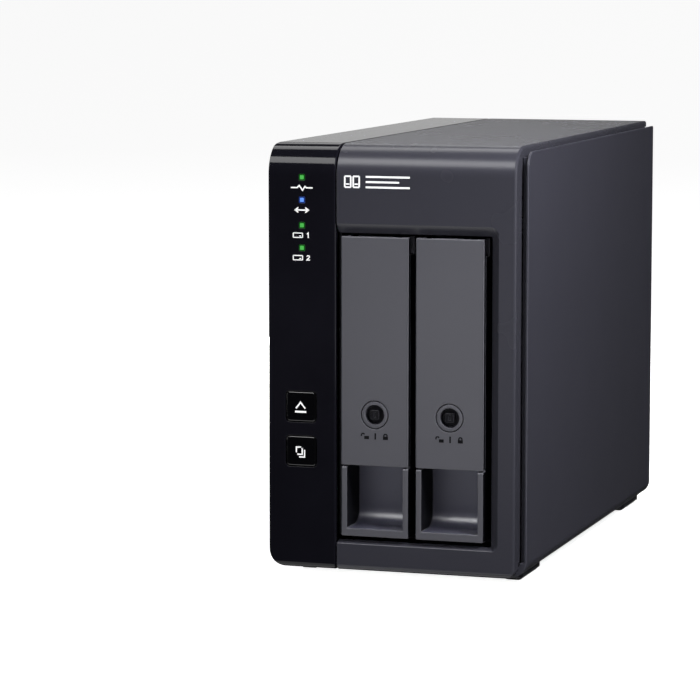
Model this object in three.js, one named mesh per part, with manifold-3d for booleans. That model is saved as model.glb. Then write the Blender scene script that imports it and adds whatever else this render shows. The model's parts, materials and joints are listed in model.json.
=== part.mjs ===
// A two-bay desktop storage enclosure: moulded covers around a sheet-metal drive cage, two lockable
// drive trays that slide out to the front, a main board with its sockets at the rear, and a cooling fan.
//
// Millimetres, +Z up. The front faces -Y, and the origin is on the desk under the middle of the case.

import * as THREE from "three";
import { mergeVertices } from "three/addons/utils/BufferGeometryUtils.js";
import Module from "manifold-3d";

const wasm = await Module();
wasm.setup();

// ---------------------------------------------------------------- driving dimensions

const WIDTH = 102;
const DEPTH = 219;
const HEIGHT = 168.5;
const LEFT = -WIDTH / 2;
const RIGHT = WIDTH / 2;
const FRONT = -DEPTH / 2;
const REAR = DEPTH / 2;
const TOP = HEIGHT;

const WALL = 2.5; // moulded cover thickness
const BASE = 3.3; // underside of the case above the desk
const GAP = 0.3; // gap between pieces that touch
const OVERCUT = 1; // how far a cutting tool passes the face that it opens
const TOP_FRONT_RADIUS = 12;
const BOTTOM_FRONT_RADIUS = 2.5;
const INNER_CORNER = 0.4; // least radius inside a moulded corner
const LEFT_BOTTOM_RADIUS = 7;
const RIGHT_BOTTOM_RADIUS = 5.5;
const LEFT_TOP_RADIUS = 1.5;
const EDGE_RADIUS = 1.1; // right-hand edge of the main shell
const ARC_STEPS = 6;

const SEAM = -23.6; // joint between the glossy left cover and the main shell
const COVER_EDGE = SEAM - GAP / 2;
const SHELL_EDGE = SEAM + GAP / 2;
const SHELL_RIGHT = 48;
const PANEL_FRONT = FRONT + 6.7; // front edge of the right-hand cover
const PANEL_TOP = 166.35;
const PANEL_CORNER = 6.5; // top front corner of the right-hand cover
const PANEL_SKIN = 0.9; // thin rim of the right-hand cover, outside its shadow gap

const BAY_PITCH = 30;
const BAY_X = [-8.1, -8.1 + BAY_PITCH];
const TRAY_HALF = 13.4;
const TRAY_FACE = FRONT + 0.5;
const TRAY_BOTTOM = 16.9;
const TRAY_TOP = 133.3;
const TRAY_SPLIT = 44.7; // lower edge of the lever, above the finger recess
const OPENING = { right: 37.9, bottom: 15, top: 134.4 };
const OPENING_CHAMFER = { right: 3.4, bottom: 1.2, top: 3.8, depth: 3.2 };
const OPENING_LIP = 3.5; // depth of the opening's surround, from the front face

const DRIVE = { length: 147, height: 101.6, thickness: 26.1 };
const DRIVE_FRONT = -91;
const DRIVE_REAR = DRIVE_FRONT + DRIVE.length;
const DRIVE_BOTTOM = (TRAY_BOTTOM + TRAY_TOP - DRIVE.height) / 2;
const DRIVE_TOP = DRIVE_BOTTOM + DRIVE.height;
const SATA_PLUG = { low: 40.5, high: 82.5 }; // height of a drive's connector when it stands on edge
const SATA_TONGUE = { near: 1.5, far: 7, depth: 5 }; // the part of a socket that enters the drive
const SATA_BLOCK = { width: 8.6, front: 1.4, rear: 63.7, margin: 2.5 }; // the rest, behind the drive

const LEVER_BACK = TRAY_FACE + 2.8;
// The lever hinges close behind the top of its own face, so that its top edge turns inside the opening.
const PIVOT = {
  y: TRAY_FACE + 3,
  z: TRAY_TOP - 3.9,
  pin: 0.8,
  hole: 1.1,
  ear: 1.9,
  knuckle: 2.4,
  knuckleHalf: 12.4,
  sweep: 5,
};
const EAR_X = { near: 8, far: 10 }; // the tray's two ears, either side of its middle
const EAR_CLEARANCE = 0.4; // between the sides of an ear and its slot in the lever
const LOCK = {
  z: 64.6,
  barrel: 5.25,
  hole: 5.55,
  keyway: 3.75,
  post: 1.7,
  housing: 7.2,
  rear: -98.5,
  cam: 9.4,
  camHalf: 2,
};
// Bar of the tray that the turned cam catches behind.
const LATCH_BAR = { half: 12, front: -101.2, rear: -99.4, bottom: 52, top: 56.9 };
const TRAY_BLOCK_REAR = DRIVE_FRONT - 0.5; // rear of the tray's front moulding
const RECESS = { half: 11.25, bottom: TRAY_BOTTOM + 3, top: 50, wall: 1.5, cove: 6 };
const POCKET = { half: 11.6, bottom: 52.5, wall: 2.5 }; // hollow behind the lever
const RAIL = { half: 13, channelHalf: 11.5, skin: 2.2 };
const CLIP = { half: 11.1, front: -82, rear: 36, pin: 1.2, gap: 0.35 };
const SIDE_HOLES_Y = [DRIVE_REAR - 28.5, DRIVE_REAR - 130.1]; // standard places on a drive's side
const SIDE_HOLE_OFFSET = 6.35; // from the drive's circuit-board face

const LAMP_X = -37.4;
const LAMP_Z = { status: 155.6, link: 146.9, disk_1: 137.1, disk_2: 128.4 };
const LAMP_SIZE = 2.0;
const LIGHT_PIPE = { shoulder: 0.8, flange: 1.2, rear: -100.4 };
const BUTTON_X = -37.9;
const BUTTON_Z = { eject: 66.6, copy: 49.2 };
const BUTTON = { halfWidth: 6.1, halfHeight: 5.8, corner: 1.5, recess: 0.2, flange: 1.2 };

const FAN = { x: 8, z: 88, size: 70, depth: 25, corner: 4, duct: 33.2, hub: 15, screw: 30 };
const BLADE = { count: 7, thickness: 1.6, depth: 20, root: 14, length: 17.6, pitch: 38 };
const PANEL_Y = { inner: 106.7, outer: 108.2 }; // rear panel sheet
const FAN_REAR = PANEL_Y.inner - 0.4;
const GRILLE = { rows: 5, pitch: 5.5, halfHeight: 1.8, halfRib: 1.2, radius: FAN.duct - 1 };
const FAN_SCREWS = [[-1, 1], [1, 1], [-1, -1], [1, -1]].map(([sx, sz]) => [
  FAN.x + sx * FAN.screw,
  FAN.z + sz * FAN.screw,
]);
const SCREW = { hole: 1.9, shank: 1.5, fanHead: 3, caseHead: 3.4, recess: 0.6 };
const CASE_SCREW = { x: 40, top: 156, bottom: 16 };
const PORT_X = -37;
const PORT_Z = { power: 140, set: 124, mode: 104, usb: 72, dc: 30, security: 50 };
const PORT_HOLE = { power: 4.5, set: 2.1, dc: 4.8 };
const SECURITY_SLOT = { halfWidth: 1.6, halfHeight: 3.6 };
const USB = { halfWidth: 1.6, halfHeight: 4.5, wall: 0.35, front: 98, floor: 100, rear: 108.4 };
const DC = { half: 4.8, collar: 4.4, bore: 3.1, pin: 1, front: 93 };
const MODE = {
  pitch: 3.3,
  halfWidth: 4,
  halfHeight: 6,
  front: 101,
  slot: 2.3,
  slotHalf: 0.9,
  slotFloor: 105.5,
};
const MODE_LEGS = { right: 3.9, rear: 104, half: 5 }; // the block's contact legs, on the main board
const MODE_SLIDER = { width: 2, half: 0.6, rear: 109 };
const TACT_SWITCH = { front: 97, rear: 101.6 };
const REAR_BUTTON = { cap: 104, rear: 109, flange: 104.6, stem: 1.1, stemFront: 102.7, stemRear: 104.2 };

const BOARD_X = { back: -44, face: -42.4 }; // main board sheet
const BOARD = { front: -50, rear: 103.3, bottom: 10, top: 160 };
const BOARD_BITE = 0.2; // how far a soldered part is sunk in its board
const CHIPS = [
  { y: [-30, -16], z: [60, 74], height: 1.2 },
  { y: [40, 52], z: [120, 132], height: 1.2 },
  { y: [-44, -36], z: [93, 107], height: 3 },
];
const CAPACITOR = { places: [[84, 50], [84, 40], [70, 36]], radius: 4, height: 11 };
const BOARD_POSTS = [[-40, 20], [-40, 150], [95, 16], [95, 155]];
const HEATSINK = { front: 0, rear: 32, bottom: 78, base: 3, height: 12, fins: 7, pitch: 5.1, fin: 1.4 };
const FRONT_BOARD = { face: -99.3, sheet: 1.6, left: -46.5, right: -28, bottom: 36, top: 160 };
const FRONT_POSTS = { x: -31, z: [115, 85] };
const BACKPLANE = { left: -22, right: 36.6, front: 64, rear: 65.6, bottom: 18, top: 134 };
const RIBBON = { thickness: 0.8, bottom: 94, top: 106, steps: 14 };

const CAGE = { jamb: -106, front: -98, rear: 61, sheet: 1.0, floor: 15.5, roof: 135.2 };
const CAGE_X = { left: -23.3, divider: 6.4, right: 36.1 }; // left faces of the cage's upright walls
const CAGE_WINDOW = { count: 4, first: CAGE.front + 24, pitch: 34, width: 16, bottom: 40, top: 110 };
const CAGE_LEG = { length: 22, front: CAGE.front + 8, rear: CAGE.rear - 30 };
const FLOOR_VENT = { x: [-8, 22], half: 9, first: -40, pitch: 22, width: 4, count: 5 };
const FOOT = {
  length: 28,
  width: 8.4,
  leftX: -40.6,
  rightX: 42.6,
  frontY: -93,
  rearY: 77,
  boss: 1.0,
  pad: 1.9,
  rim: 1,
  corner: 1.5,
};

// ---------------------------------------------------------------- solids

// A closed three.js geometry as a solid that can be joined and cut.
function solidOf(geometry) {
  const bare = geometry.clone();
  bare.deleteAttribute("normal");
  bare.deleteAttribute("uv");
  const merged = mergeVertices(bare, 1e-4);
  return new wasm.Manifold(
    new wasm.Mesh({
      numProp: 3,
      vertProperties: merged.attributes.position.array,
      triVerts: new Uint32Array(merged.index.array),
    }),
  );
}

function geometryOf(solid) {
  const { vertProperties, triVerts } = solid.getMesh();
  const geometry = new THREE.BufferGeometry();
  geometry.setAttribute("position", new THREE.BufferAttribute(vertProperties, 3));
  geometry.setIndex(new THREE.BufferAttribute(triVerts, 1));
  geometry.computeVertexNormals();
  return geometry;
}

// The places of a row of equal features.
const series = ({ first, pitch, count }) => Array.from({ length: count }, (_, i) => first + pitch * i);

const join = (...solids) => solids.reduce((a, b) => a.add(b));
const cut = (solid, ...tools) => tools.reduce((a, b) => a.subtract(b), solid);

function box(x0, x1, y0, y1, z0, z1) {
  const geometry = new THREE.BoxGeometry(x1 - x0, y1 - y0, z1 - z0);
  return solidOf(geometry.translate((x0 + x1) / 2, (y0 + y1) / 2, (z0 + z1) / 2));
}

// A polygon whose corners are [u, v, radius]; a corner with no radius stays sharp.
function roundedOutline(corners, steps = ARC_STEPS) {
  const points = [];
  corners.forEach(([u, v, radius = 0], i) => {
    const corner = new THREE.Vector2(u, v);
    if (!radius) {
      points.push(corner);
      return;
    }
    const count = corners.length;
    const [pu, pv] = corners[(i + count - 1) % count];
    const [nu, nv] = corners[(i + 1) % count];
    const before = new THREE.Vector2(pu - u, pv - v).normalize();
    const after = new THREE.Vector2(nu - u, nv - v).normalize();
    const half = Math.acos(before.dot(after)) / 2;
    const middle = before.clone().add(after).normalize();
    const centre = corner.clone().addScaledVector(middle, radius / Math.sin(half));
    const start = corner.clone().addScaledVector(before, radius / Math.tan(half)).sub(centre);
    const turn = (Math.PI - 2 * half) * Math.sign(before.cross(after)) * -1;
    for (let k = 0; k <= steps; k++) {
      const spoke = start.clone().rotateAround(new THREE.Vector2(), (turn * k) / steps);
      points.push(centre.clone().add(spoke));
    }
  });
  return new THREE.Shape(points);
}

function roundedRectangle(u0, u1, v0, v1, radius, steps = ARC_STEPS) {
  return roundedOutline([[u0, v0, radius], [u1, v0, radius], [u1, v1, radius], [u0, v1, radius]], steps);
}

// Rows of a matrix that sends an outline's (u, v) and the way it is extruded to the named axes.
const TO_YZ = new THREE.Matrix4().set(0, 0, 1, 0, 1, 0, 0, 0, 0, 1, 0, 0, 0, 0, 0, 1);
const TO_XZ = new THREE.Matrix4().set(1, 0, 0, 0, 0, 0, -1, 0, 0, 1, 0, 0, 0, 0, 0, 1);

function extruded(shape, length) {
  return new THREE.ExtrudeGeometry(shape, { depth: length, bevelEnabled: false, curveSegments: 8 });
}

function prismX(shape, x0, x1) {
  return solidOf(extruded(shape, x1 - x0).applyMatrix4(TO_YZ).translate(x0, 0, 0));
}

function prismY(shape, y0, y1) {
  return solidOf(extruded(shape, y1 - y0).applyMatrix4(TO_XZ).translate(0, y1, 0));
}

function prismZ(shape, z0, z1) {
  return solidOf(extruded(shape, z1 - z0).translate(0, 0, z0));
}

function cylinderY(x, z, radius, y0, y1, sides = 20) {
  const geometry = new THREE.CylinderGeometry(radius, radius, y1 - y0, sides);
  return solidOf(geometry.translate(x, (y0 + y1) / 2, z));
}

function cylinderX(y, z, radius, x0, x1, sides = 16) {
  const geometry = new THREE.CylinderGeometry(radius, radius, x1 - x0, sides);
  return solidOf(geometry.rotateZ(Math.PI / 2).translate((x0 + x1) / 2, y, z));
}

function cylinderZ(x, y, radius, z0, z1, sides = 12) {
  const geometry = new THREE.CylinderGeometry(radius, radius, z1 - z0, sides);
  return solidOf(geometry.rotateX(Math.PI / 2).translate(x, y, (z0 + z1) / 2));
}

// A box whose front face, at y0, and rear face, at y1, are different rectangles {x0, x1, z0, z1}.
function taperedBox(y0, front, y1, rear) {
  const geometry = new THREE.BoxGeometry(1, 1, 1);
  const place = geometry.attributes.position;
  for (let i = 0; i < place.count; i++) {
    const atFront = place.getY(i) < 0;
    const face = atFront ? front : rear;
    const x = place.getX(i) < 0 ? face.x0 : face.x1;
    const z = place.getZ(i) < 0 ? face.z0 : face.z1;
    place.setXYZ(i, x, atFront ? y0 : y1, z);
  }
  return solidOf(geometry);
}

// The case's side outline (y, z): a large radius at the top of the front, a small one at its foot.
function sideOutline(inset, rear) {
  const front = FRONT + inset;
  const top = TOP - inset;
  return [
    [rear, BASE + inset],
    [rear, top],
    [front, top, TOP_FRONT_RADIUS - inset],
    [front, BASE + inset, Math.max(BOTTOM_FRONT_RADIUS - inset, INNER_CORNER)],
  ];
}

// ---------------------------------------------------------------- materials

function plastic(colour, roughness) {
  return new THREE.MeshStandardMaterial({ color: colour, roughness, metalness: 0 });
}

function metal(colour, roughness) {
  return new THREE.MeshStandardMaterial({ color: colour, roughness, metalness: 1 });
}

const glossBlack = plastic(0x0b0b0d, 0.12);
const graphite = plastic(0x2c2d31, 0.5);
const trayGrey = plastic(0x3f4044, 0.55);
const moduleBlack = plastic(0x141416, 0.45);
const rubber = plastic(0x0c0c0c, 0.9);
const greenLamp = plastic(0x33cc33, 0.3);
const blueLamp = plastic(0x3388ff, 0.3);
const boardGreen = plastic(0x14402a, 0.5);
const sheetSteel = metal(0x9a9da1, 0.4);
const blackSteel = metal(0x1a1a1c, 0.5);
const plated = metal(0xb9bcc0, 0.25);
const aluminium = metal(0xa8abb0, 0.35);
const cableBlack = plastic(0x111111, 0.6);

const enclosure = new THREE.Group();

function add(name, solid, material) {
  const mesh = new THREE.Mesh(geometryOf(solid), material);
  mesh.name = name;
  enclosure.add(mesh);
}

// ---------------------------------------------------------------- covers

// Plan of a foot that starts at y0, drawn in by margin on all sides.
function footOutline(xCentre, y0, margin, corner) {
  const half = FOOT.width / 2 - margin;
  return roundedRectangle(
    xCentre - half, xCentre + half, y0 + margin, y0 + FOOT.length - margin, corner, 2,
  );
}

// Moulded bosses that carry the rubber feet of one side, with the pockets in their undersides.
function footBosses(xCentre) {
  const places = [FOOT.frontY, FOOT.rearY];
  const bosses = places.map((y0) =>
    prismZ(footOutline(xCentre, y0, 0, FOOT.corner), FOOT.boss, BASE + 1),
  );
  const pockets = places.map((y0) =>
    prismZ(footOutline(xCentre, y0, FOOT.rim, 0), FOOT.boss - OVERCUT, FOOT.pad + GAP),
  );
  return { bosses, pockets };
}

function rubberFoot(xCentre, y0) {
  return prismZ(footOutline(xCentre, y0, FOOT.rim + GAP, FOOT.corner / 2), 0, FOOT.pad);
}

function buttonOutline(z, margin) {
  const w = BUTTON.halfWidth + margin;
  const h = BUTTON.halfHeight + margin;
  return roundedRectangle(BUTTON_X - w, BUTTON_X + w, z - h, z + h, BUTTON.corner, 3);
}

// Glossy cover: left wall with a front strip, a top strip and a bottom strip.
function leftCover() {
  const outer = prismX(roundedOutline(sideOutline(0, REAR)), LEFT, COVER_EDGE).intersect(
    prismY(roundedOutline([
      [LEFT, BASE, LEFT_BOTTOM_RADIUS],
      [COVER_EDGE + OVERCUT, BASE],
      [COVER_EDGE + OVERCUT, TOP],
      [LEFT, TOP, LEFT_TOP_RADIUS],
    ]), FRONT - OVERCUT, REAR + OVERCUT),
  );
  const hollow = roundedOutline(sideOutline(WALL, REAR + OVERCUT));
  const inner = prismX(hollow, LEFT + WALL, COVER_EDGE + OVERCUT).intersect(
    prismY(roundedOutline([
      [LEFT + WALL, BASE + WALL, LEFT_BOTTOM_RADIUS - WALL],
      [COVER_EDGE + 2 * OVERCUT, BASE + WALL],
      [COVER_EDGE + 2 * OVERCUT, TOP - WALL],
      [LEFT + WALL, TOP - WALL],
    ]), FRONT - OVERCUT, REAR + 2 * OVERCUT),
  );
  const { bosses, pockets } = footBosses(FOOT.leftX);
  const windows = Object.values(LAMP_Z).map((z) => {
    const half = LAMP_SIZE / 2 + GAP;
    return box(
      LAMP_X - half, LAMP_X + half, FRONT - OVERCUT, FRONT + WALL + OVERCUT, z - half, z + half,
    );
  });
  const buttonHoles = Object.values(BUTTON_Z).map((z) =>
    prismY(buttonOutline(z, GAP + 0.05), FRONT - OVERCUT, FRONT + WALL + OVERCUT),
  );
  const boardPosts = BOARD_POSTS.map(([y, z]) =>
    cylinderX(y, z, 3, LEFT + WALL - 0.5, BOARD_X.back - GAP, 10),
  );
  const frontPosts = FRONT_POSTS.z.map((z) =>
    cylinderY(FRONT_POSTS.x, z, 2, FRONT + WALL - 0.5, FRONT_BOARD.face - GAP, 10),
  );
  return cut(
    join(cut(outer, inner), ...bosses, ...boardPosts, ...frontPosts),
    ...pockets, ...windows, ...buttonHoles,
  );
}

// Matt shell: front frame around the two bays, the top, and flanges behind the right-hand cover.
function mainShell() {
  const bevelled = new THREE.ExtrudeGeometry(roundedOutline(sideOutline(0, REAR + 5)), {
    depth: SHELL_RIGHT - SHELL_EDGE + 5 - EDGE_RADIUS,
    bevelThickness: EDGE_RADIUS,
    bevelSize: EDGE_RADIUS,
    bevelOffset: -EDGE_RADIUS,
    bevelSegments: 3,
  });
  bevelled.applyMatrix4(TO_YZ).translate(SHELL_EDGE - 5, 0, 0);
  const outer = solidOf(bevelled).intersect(
    prismY(roundedOutline([
      [SHELL_EDGE, BASE],
      [SHELL_RIGHT + 1, BASE, RIGHT_BOTTOM_RADIUS - 0.5],
      [SHELL_RIGHT + 1, TOP + 1],
      [SHELL_EDGE, TOP + 1],
    ]), FRONT - OVERCUT, REAR),
  );
  const inner = prismX(
    roundedOutline(sideOutline(WALL, REAR + OVERCUT)), SHELL_EDGE - OVERCUT, SHELL_RIGHT - WALL,
  );
  const surround = box(
    SHELL_EDGE, OPENING.right + OPENING_CHAMFER.right + 2,
    FRONT + 1, FRONT + OPENING_LIP,
    OPENING.bottom - 4, OPENING.top + OPENING_CHAMFER.top + 1,
  );
  const opening = box(
    SHELL_EDGE - OVERCUT, OPENING.right, FRONT - OVERCUT, FRONT + 12, OPENING.bottom, OPENING.top,
  );
  const outside = {
    x0: SHELL_EDGE - OVERCUT,
    x1: OPENING.right + OPENING_CHAMFER.right,
    z0: OPENING.bottom - OPENING_CHAMFER.bottom,
    z1: OPENING.top + OPENING_CHAMFER.top,
  };
  const inside = { ...outside, x1: OPENING.right, z0: OPENING.bottom, z1: OPENING.top };
  const chamfer = join(
    taperedBox(FRONT, outside, FRONT + OPENING_CHAMFER.depth, inside),
    box(outside.x0, outside.x1, FRONT - OVERCUT, FRONT + 0.001, outside.z0, outside.z1),
  );
  const flange = 10;
  const right = SHELL_RIGHT + OVERCUT;
  const wallInside = SHELL_RIGHT - WALL - 0.01;
  const under = BASE - OVERCUT;
  const behind = REAR + OVERCUT;
  const openBottom = box(
    SHELL_EDGE - OVERCUT, right, PANEL_FRONT - GAP, behind, under, BASE + WALL + 3,
  );
  const openSide = box(wallInside, right, FRONT + flange, behind, under, TOP - flange);
  const rearOfFlange = box(wallInside, right, PANEL_Y.inner - GAP, behind, under, TOP - WALL);
  const shell = join(cut(outer, inner), surround);
  return cut(shell, opening, chamfer, openBottom, openSide, rearOfFlange);
}

// Right-hand cover: a side wall with a thin rim, curving under into the floor of the case.
function rightCover() {
  const innerX = SHELL_RIGHT + GAP;
  const floorTop = BASE + WALL;
  const body = prismY(roundedOutline([
    [SHELL_EDGE, BASE],
    [RIGHT, BASE, RIGHT_BOTTOM_RADIUS],
    [RIGHT, PANEL_TOP, 0.5],
    [innerX, PANEL_TOP],
    [innerX, floorTop, RIGHT_BOTTOM_RADIUS - WALL],
    [SHELL_EDGE, floorTop],
  ], 4), PANEL_FRONT, REAR).intersect(prismX(roundedOutline([
    [PANEL_FRONT, BASE - 1],
    [REAR, BASE - 1],
    [REAR, PANEL_TOP],
    [PANEL_FRONT, PANEL_TOP, PANEL_CORNER],
  ]), SHELL_EDGE - OVERCUT, RIGHT + OVERCUT));
  const rimX = RIGHT - PANEL_SKIN;
  const shadowGap = 2;
  const rebateX = innerX - OVERCUT;
  const rebateY = PANEL_FRONT - OVERCUT;
  const frontRebate = box(
    rebateX, rimX, rebateY, PANEL_FRONT + shadowGap, RIGHT_BOTTOM_RADIUS + BASE, TOP,
  );
  const topRebate = box(rebateX, rimX, rebateY, REAR + OVERCUT, PANEL_TOP - shadowGap, TOP);
  const { bosses, pockets } = footBosses(FOOT.rightX);
  const vents = FLOOR_VENT.x.flatMap((x) =>
    series(FLOOR_VENT).map((y) =>
      box(
        x - FLOOR_VENT.half, x + FLOOR_VENT.half, y, y + FLOOR_VENT.width,
        BASE - OVERCUT, floorTop + OVERCUT,
      ),
    ),
  );
  return cut(join(body, ...bosses), frontRebate, topRebate, ...pockets, ...vents);
}

// Rear sheet: fan grille, socket cut-outs, security slot and screw holes.
function rearPanel() {
  const floor = BASE + WALL + GAP;
  const roof = TOP - WALL - GAP;
  const sheet = prismY(roundedOutline([
    [LEFT + WALL + GAP, floor, LEFT_BOTTOM_RADIUS - WALL],
    [SHELL_RIGHT - GAP, floor, RIGHT_BOTTOM_RADIUS],
    [SHELL_RIGHT - GAP, roof],
    [LEFT + WALL + GAP, roof],
  ]), PANEL_Y.inner, PANEL_Y.outer);
  const y0 = PANEL_Y.inner - OVERCUT;
  const y1 = PANEL_Y.outer + OVERCUT;
  const hole = (x, z, radius, sides) => cylinderY(x, z, radius, y0, y1, sides);
  const slot = (x, z, halfWidth, halfHeight) =>
    box(x - halfWidth, x + halfWidth, y0, y1, z - halfHeight, z + halfHeight);
  const grille = [];
  for (let row = -GRILLE.rows; row <= GRILLE.rows; row++) {
    const z = FAN.z + row * GRILLE.pitch;
    const reach = Math.sqrt(
      GRILLE.radius ** 2 - (Math.abs(row) * GRILLE.pitch + GRILLE.halfHeight) ** 2,
    );
    const half = (reach - GRILLE.halfRib) / 2;
    for (const side of [-1, 1]) {
      grille.push(slot(FAN.x + side * (GRILLE.halfRib + half), z, half, GRILLE.halfHeight));
    }
  }
  return cut(
    sheet,
    ...grille,
    ...FAN_SCREWS.map(([x, z]) => hole(x, z, SCREW.hole, 12)),
    hole(CASE_SCREW.x, CASE_SCREW.top, SCREW.hole, 12),
    hole(CASE_SCREW.x, CASE_SCREW.bottom, SCREW.hole, 12),
    hole(PORT_X, PORT_Z.power, PORT_HOLE.power, 20),
    hole(PORT_X, PORT_Z.set, PORT_HOLE.set, 12),
    hole(PORT_X, PORT_Z.dc, PORT_HOLE.dc, 20),
    slot(PORT_X, PORT_Z.mode, MODE.halfWidth + GAP, MODE.halfHeight + GAP),
    slot(PORT_X, PORT_Z.security, SECURITY_SLOT.halfWidth, SECURITY_SLOT.halfHeight),
    prismY(usbOutline(USB.wall), y0, y1),
  );
}

// A pan-head screw whose head stands on the rear panel; the shank points to the front.
function rearScrew(x, z, headRadius, shank) {
  const head = cylinderY(x, z, headRadius, PANEL_Y.outer + GAP, REAR, 14);
  const recess = (halfX, halfZ) =>
    box(x - halfX, x + halfX, REAR - SCREW.recess, REAR + OVERCUT, z - halfZ, z + halfZ);
  const cross = join(recess(0.35, 1.6), recess(1.6, 0.35));
  const seat = PANEL_Y.outer + GAP + 0.1;
  return join(cut(head, cross), cylinderY(x, z, SCREW.shank, PANEL_Y.outer - shank, seat, 10));
}

// ---------------------------------------------------------------- drive cage

// An upright wall of the cage; the left one reaches further forward, to close the gap beside the tray.
function cagePlate(x, front = CAGE.front) {
  const plate = join(
    box(x, x + CAGE.sheet, CAGE.front, CAGE.rear, CAGE.floor + CAGE.sheet + GAP, CAGE.roof - GAP),
    box(x, x + CAGE.sheet, front, CAGE.front + 1, CAGE.floor + CAGE.sheet + GAP, OPENING.top - GAP),
  );
  const windows = series(CAGE_WINDOW).map((y) =>
    box(
      x - OVERCUT, x + CAGE.sheet + OVERCUT, y, y + CAGE_WINDOW.width,
      CAGE_WINDOW.bottom, CAGE_WINDOW.top,
    ),
  );
  return cut(plate, ...windows);
}

function cageFloor() {
  const floor = box(CAGE_X.left, CAGE_X.right + CAGE.sheet, CAGE.front, CAGE.rear,
    CAGE.floor, CAGE.floor + CAGE.sheet);
  const legs = [];
  for (const x of [CAGE_X.left, CAGE_X.right]) {
    for (const y of [CAGE_LEG.front, CAGE_LEG.rear]) {
      legs.push(
        box(x, x + CAGE.sheet, y, y + CAGE_LEG.length, BASE + WALL + GAP, CAGE.floor + 0.5),
      );
    }
  }
  return join(floor, ...legs);
}

function cageRoof() {
  return box(CAGE_X.left, CAGE_X.right + CAGE.sheet, CAGE.front, CAGE.rear,
    CAGE.roof, CAGE.roof + CAGE.sheet);
}

// ---------------------------------------------------------------- boards and sockets

function backplaneBoard() {
  const { left, right, front, rear, bottom, top } = BACKPLANE;
  const window = (x, z0, z1) => box(x, x + 10, front - OVERCUT, rear + OVERCUT, z0, z1);
  return cut(
    box(left, right, front, rear, bottom, top),
    window(-2, 88, 128),
    window(16, 88, 128),
    window(-2, 40, 80),
  );
}

function sataSocket(x) {
  const edge = x - DRIVE.thickness / 2;
  return join(
    box(
      edge + SATA_TONGUE.near, edge + SATA_TONGUE.far, DRIVE_REAR - SATA_TONGUE.depth, DRIVE_REAR + 2,
      SATA_PLUG.low, SATA_PLUG.high,
    ),
    box(
      edge, edge + SATA_BLOCK.width, DRIVE_REAR + SATA_BLOCK.front, SATA_BLOCK.rear,
      SATA_PLUG.low - SATA_BLOCK.margin, SATA_PLUG.high + SATA_BLOCK.margin,
    ),
  );
}

// Main board with its soldered chips and capacitors, components facing the drives.
function mainBoard() {
  const sheet = box(BOARD_X.back, BOARD_X.face, BOARD.front, BOARD.rear, BOARD.bottom, BOARD.top);
  const bite = BOARD_X.face - BOARD_BITE;
  const chips = CHIPS.map(({ y, z, height }) => box(bite, BOARD_X.face + height, ...y, ...z));
  const capacitors = CAPACITOR.places.map(([y, z]) =>
    cylinderX(y, z, CAPACITOR.radius, bite, BOARD_X.face + CAPACITOR.height, 12),
  );
  return join(sheet, ...chips, ...capacitors);
}

function heatsink() {
  const { front, rear, bottom, base, height, fins, pitch, fin } = HEATSINK;
  const top = bottom + (fins - 1) * pitch + fin;
  const foot = box(BOARD_X.face + GAP, BOARD_X.face + base, front, rear, bottom, top);
  const blades = series({ first: bottom, pitch, count: fins }).map((z) =>
    box(BOARD_X.face + base - 0.5, BOARD_X.face + height, front, rear, z, z + fin),
  );
  return join(foot, ...blades);
}

function usbOutline(margin) {
  const w = USB.halfWidth + margin;
  const h = USB.halfHeight + margin;
  const z = PORT_Z.usb;
  return roundedRectangle(PORT_X - w, PORT_X + w, z - h, z + h, w * 0.95, 4);
}

function usbSocket() {
  const z = PORT_Z.usb;
  const shell = cut(
    prismY(usbOutline(0), USB.front, USB.rear),
    prismY(usbOutline(-USB.wall), USB.floor, USB.rear + OVERCUT),
  );
  const tongue = box(PORT_X - 0.35, PORT_X + 0.35, USB.front + 1, USB.rear - 0.8, z - 3.3, z + 3.3);
  const legs = box(BOARD_X.face + GAP, PORT_X - 1, USB.front, USB.front + 3, z - 3, z + 3);
  return join(shell, tongue, legs);
}

function dcJack() {
  const z = PORT_Z.dc;
  const body = box(
    BOARD_X.face + GAP, PORT_X + 4.6, DC.front, PANEL_Y.inner - GAP, z - DC.half, z + DC.half,
  );
  const collar = cylinderY(PORT_X, z, DC.collar, DC.front + 7, PANEL_Y.outer + 0.3);
  const bore = cylinderY(PORT_X, z, DC.bore, DC.front + 4, PANEL_Y.outer + OVERCUT);
  const pin = cylinderY(PORT_X, z, DC.pin, DC.front + 3.5, PANEL_Y.inner, 10);
  return join(cut(join(body, collar), bore), pin);
}

const modeZ = (i) => PORT_Z.mode + (i - 1) * MODE.pitch;

function modeSwitchBlock() {
  const body = join(
    box(
      PORT_X - MODE.halfWidth, PORT_X + MODE.halfWidth, MODE.front, PANEL_Y.outer,
      PORT_Z.mode - MODE.halfHeight, PORT_Z.mode + MODE.halfHeight,
    ),
    box(
      BOARD_X.face + GAP, PORT_X - MODE_LEGS.right, MODE.front, MODE_LEGS.rear,
      PORT_Z.mode - MODE_LEGS.half, PORT_Z.mode + MODE_LEGS.half,
    ),
  );
  const slots = [0, 1, 2].map((i) =>
    box(
      PORT_X - MODE.slot, PORT_X + MODE.slot, MODE.slotFloor, PANEL_Y.outer + OVERCUT,
      modeZ(i) - MODE.slotHalf, modeZ(i) + MODE.slotHalf,
    ),
  );
  return cut(body, ...slots);
}

function modeSlider(i) {
  return box(
    PORT_X - MODE_SLIDER.width, PORT_X, MODE.slotFloor + GAP, MODE_SLIDER.rear,
    modeZ(i) - MODE_SLIDER.half, modeZ(i) + MODE_SLIDER.half,
  );
}

// A tactile switch soldered to the main board, facing the rear.
function tactSwitch(z, half) {
  return box(
    BOARD_X.face + GAP, PORT_X + half, TACT_SWITCH.front, TACT_SWITCH.rear, z - half, z + half,
  );
}

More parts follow.
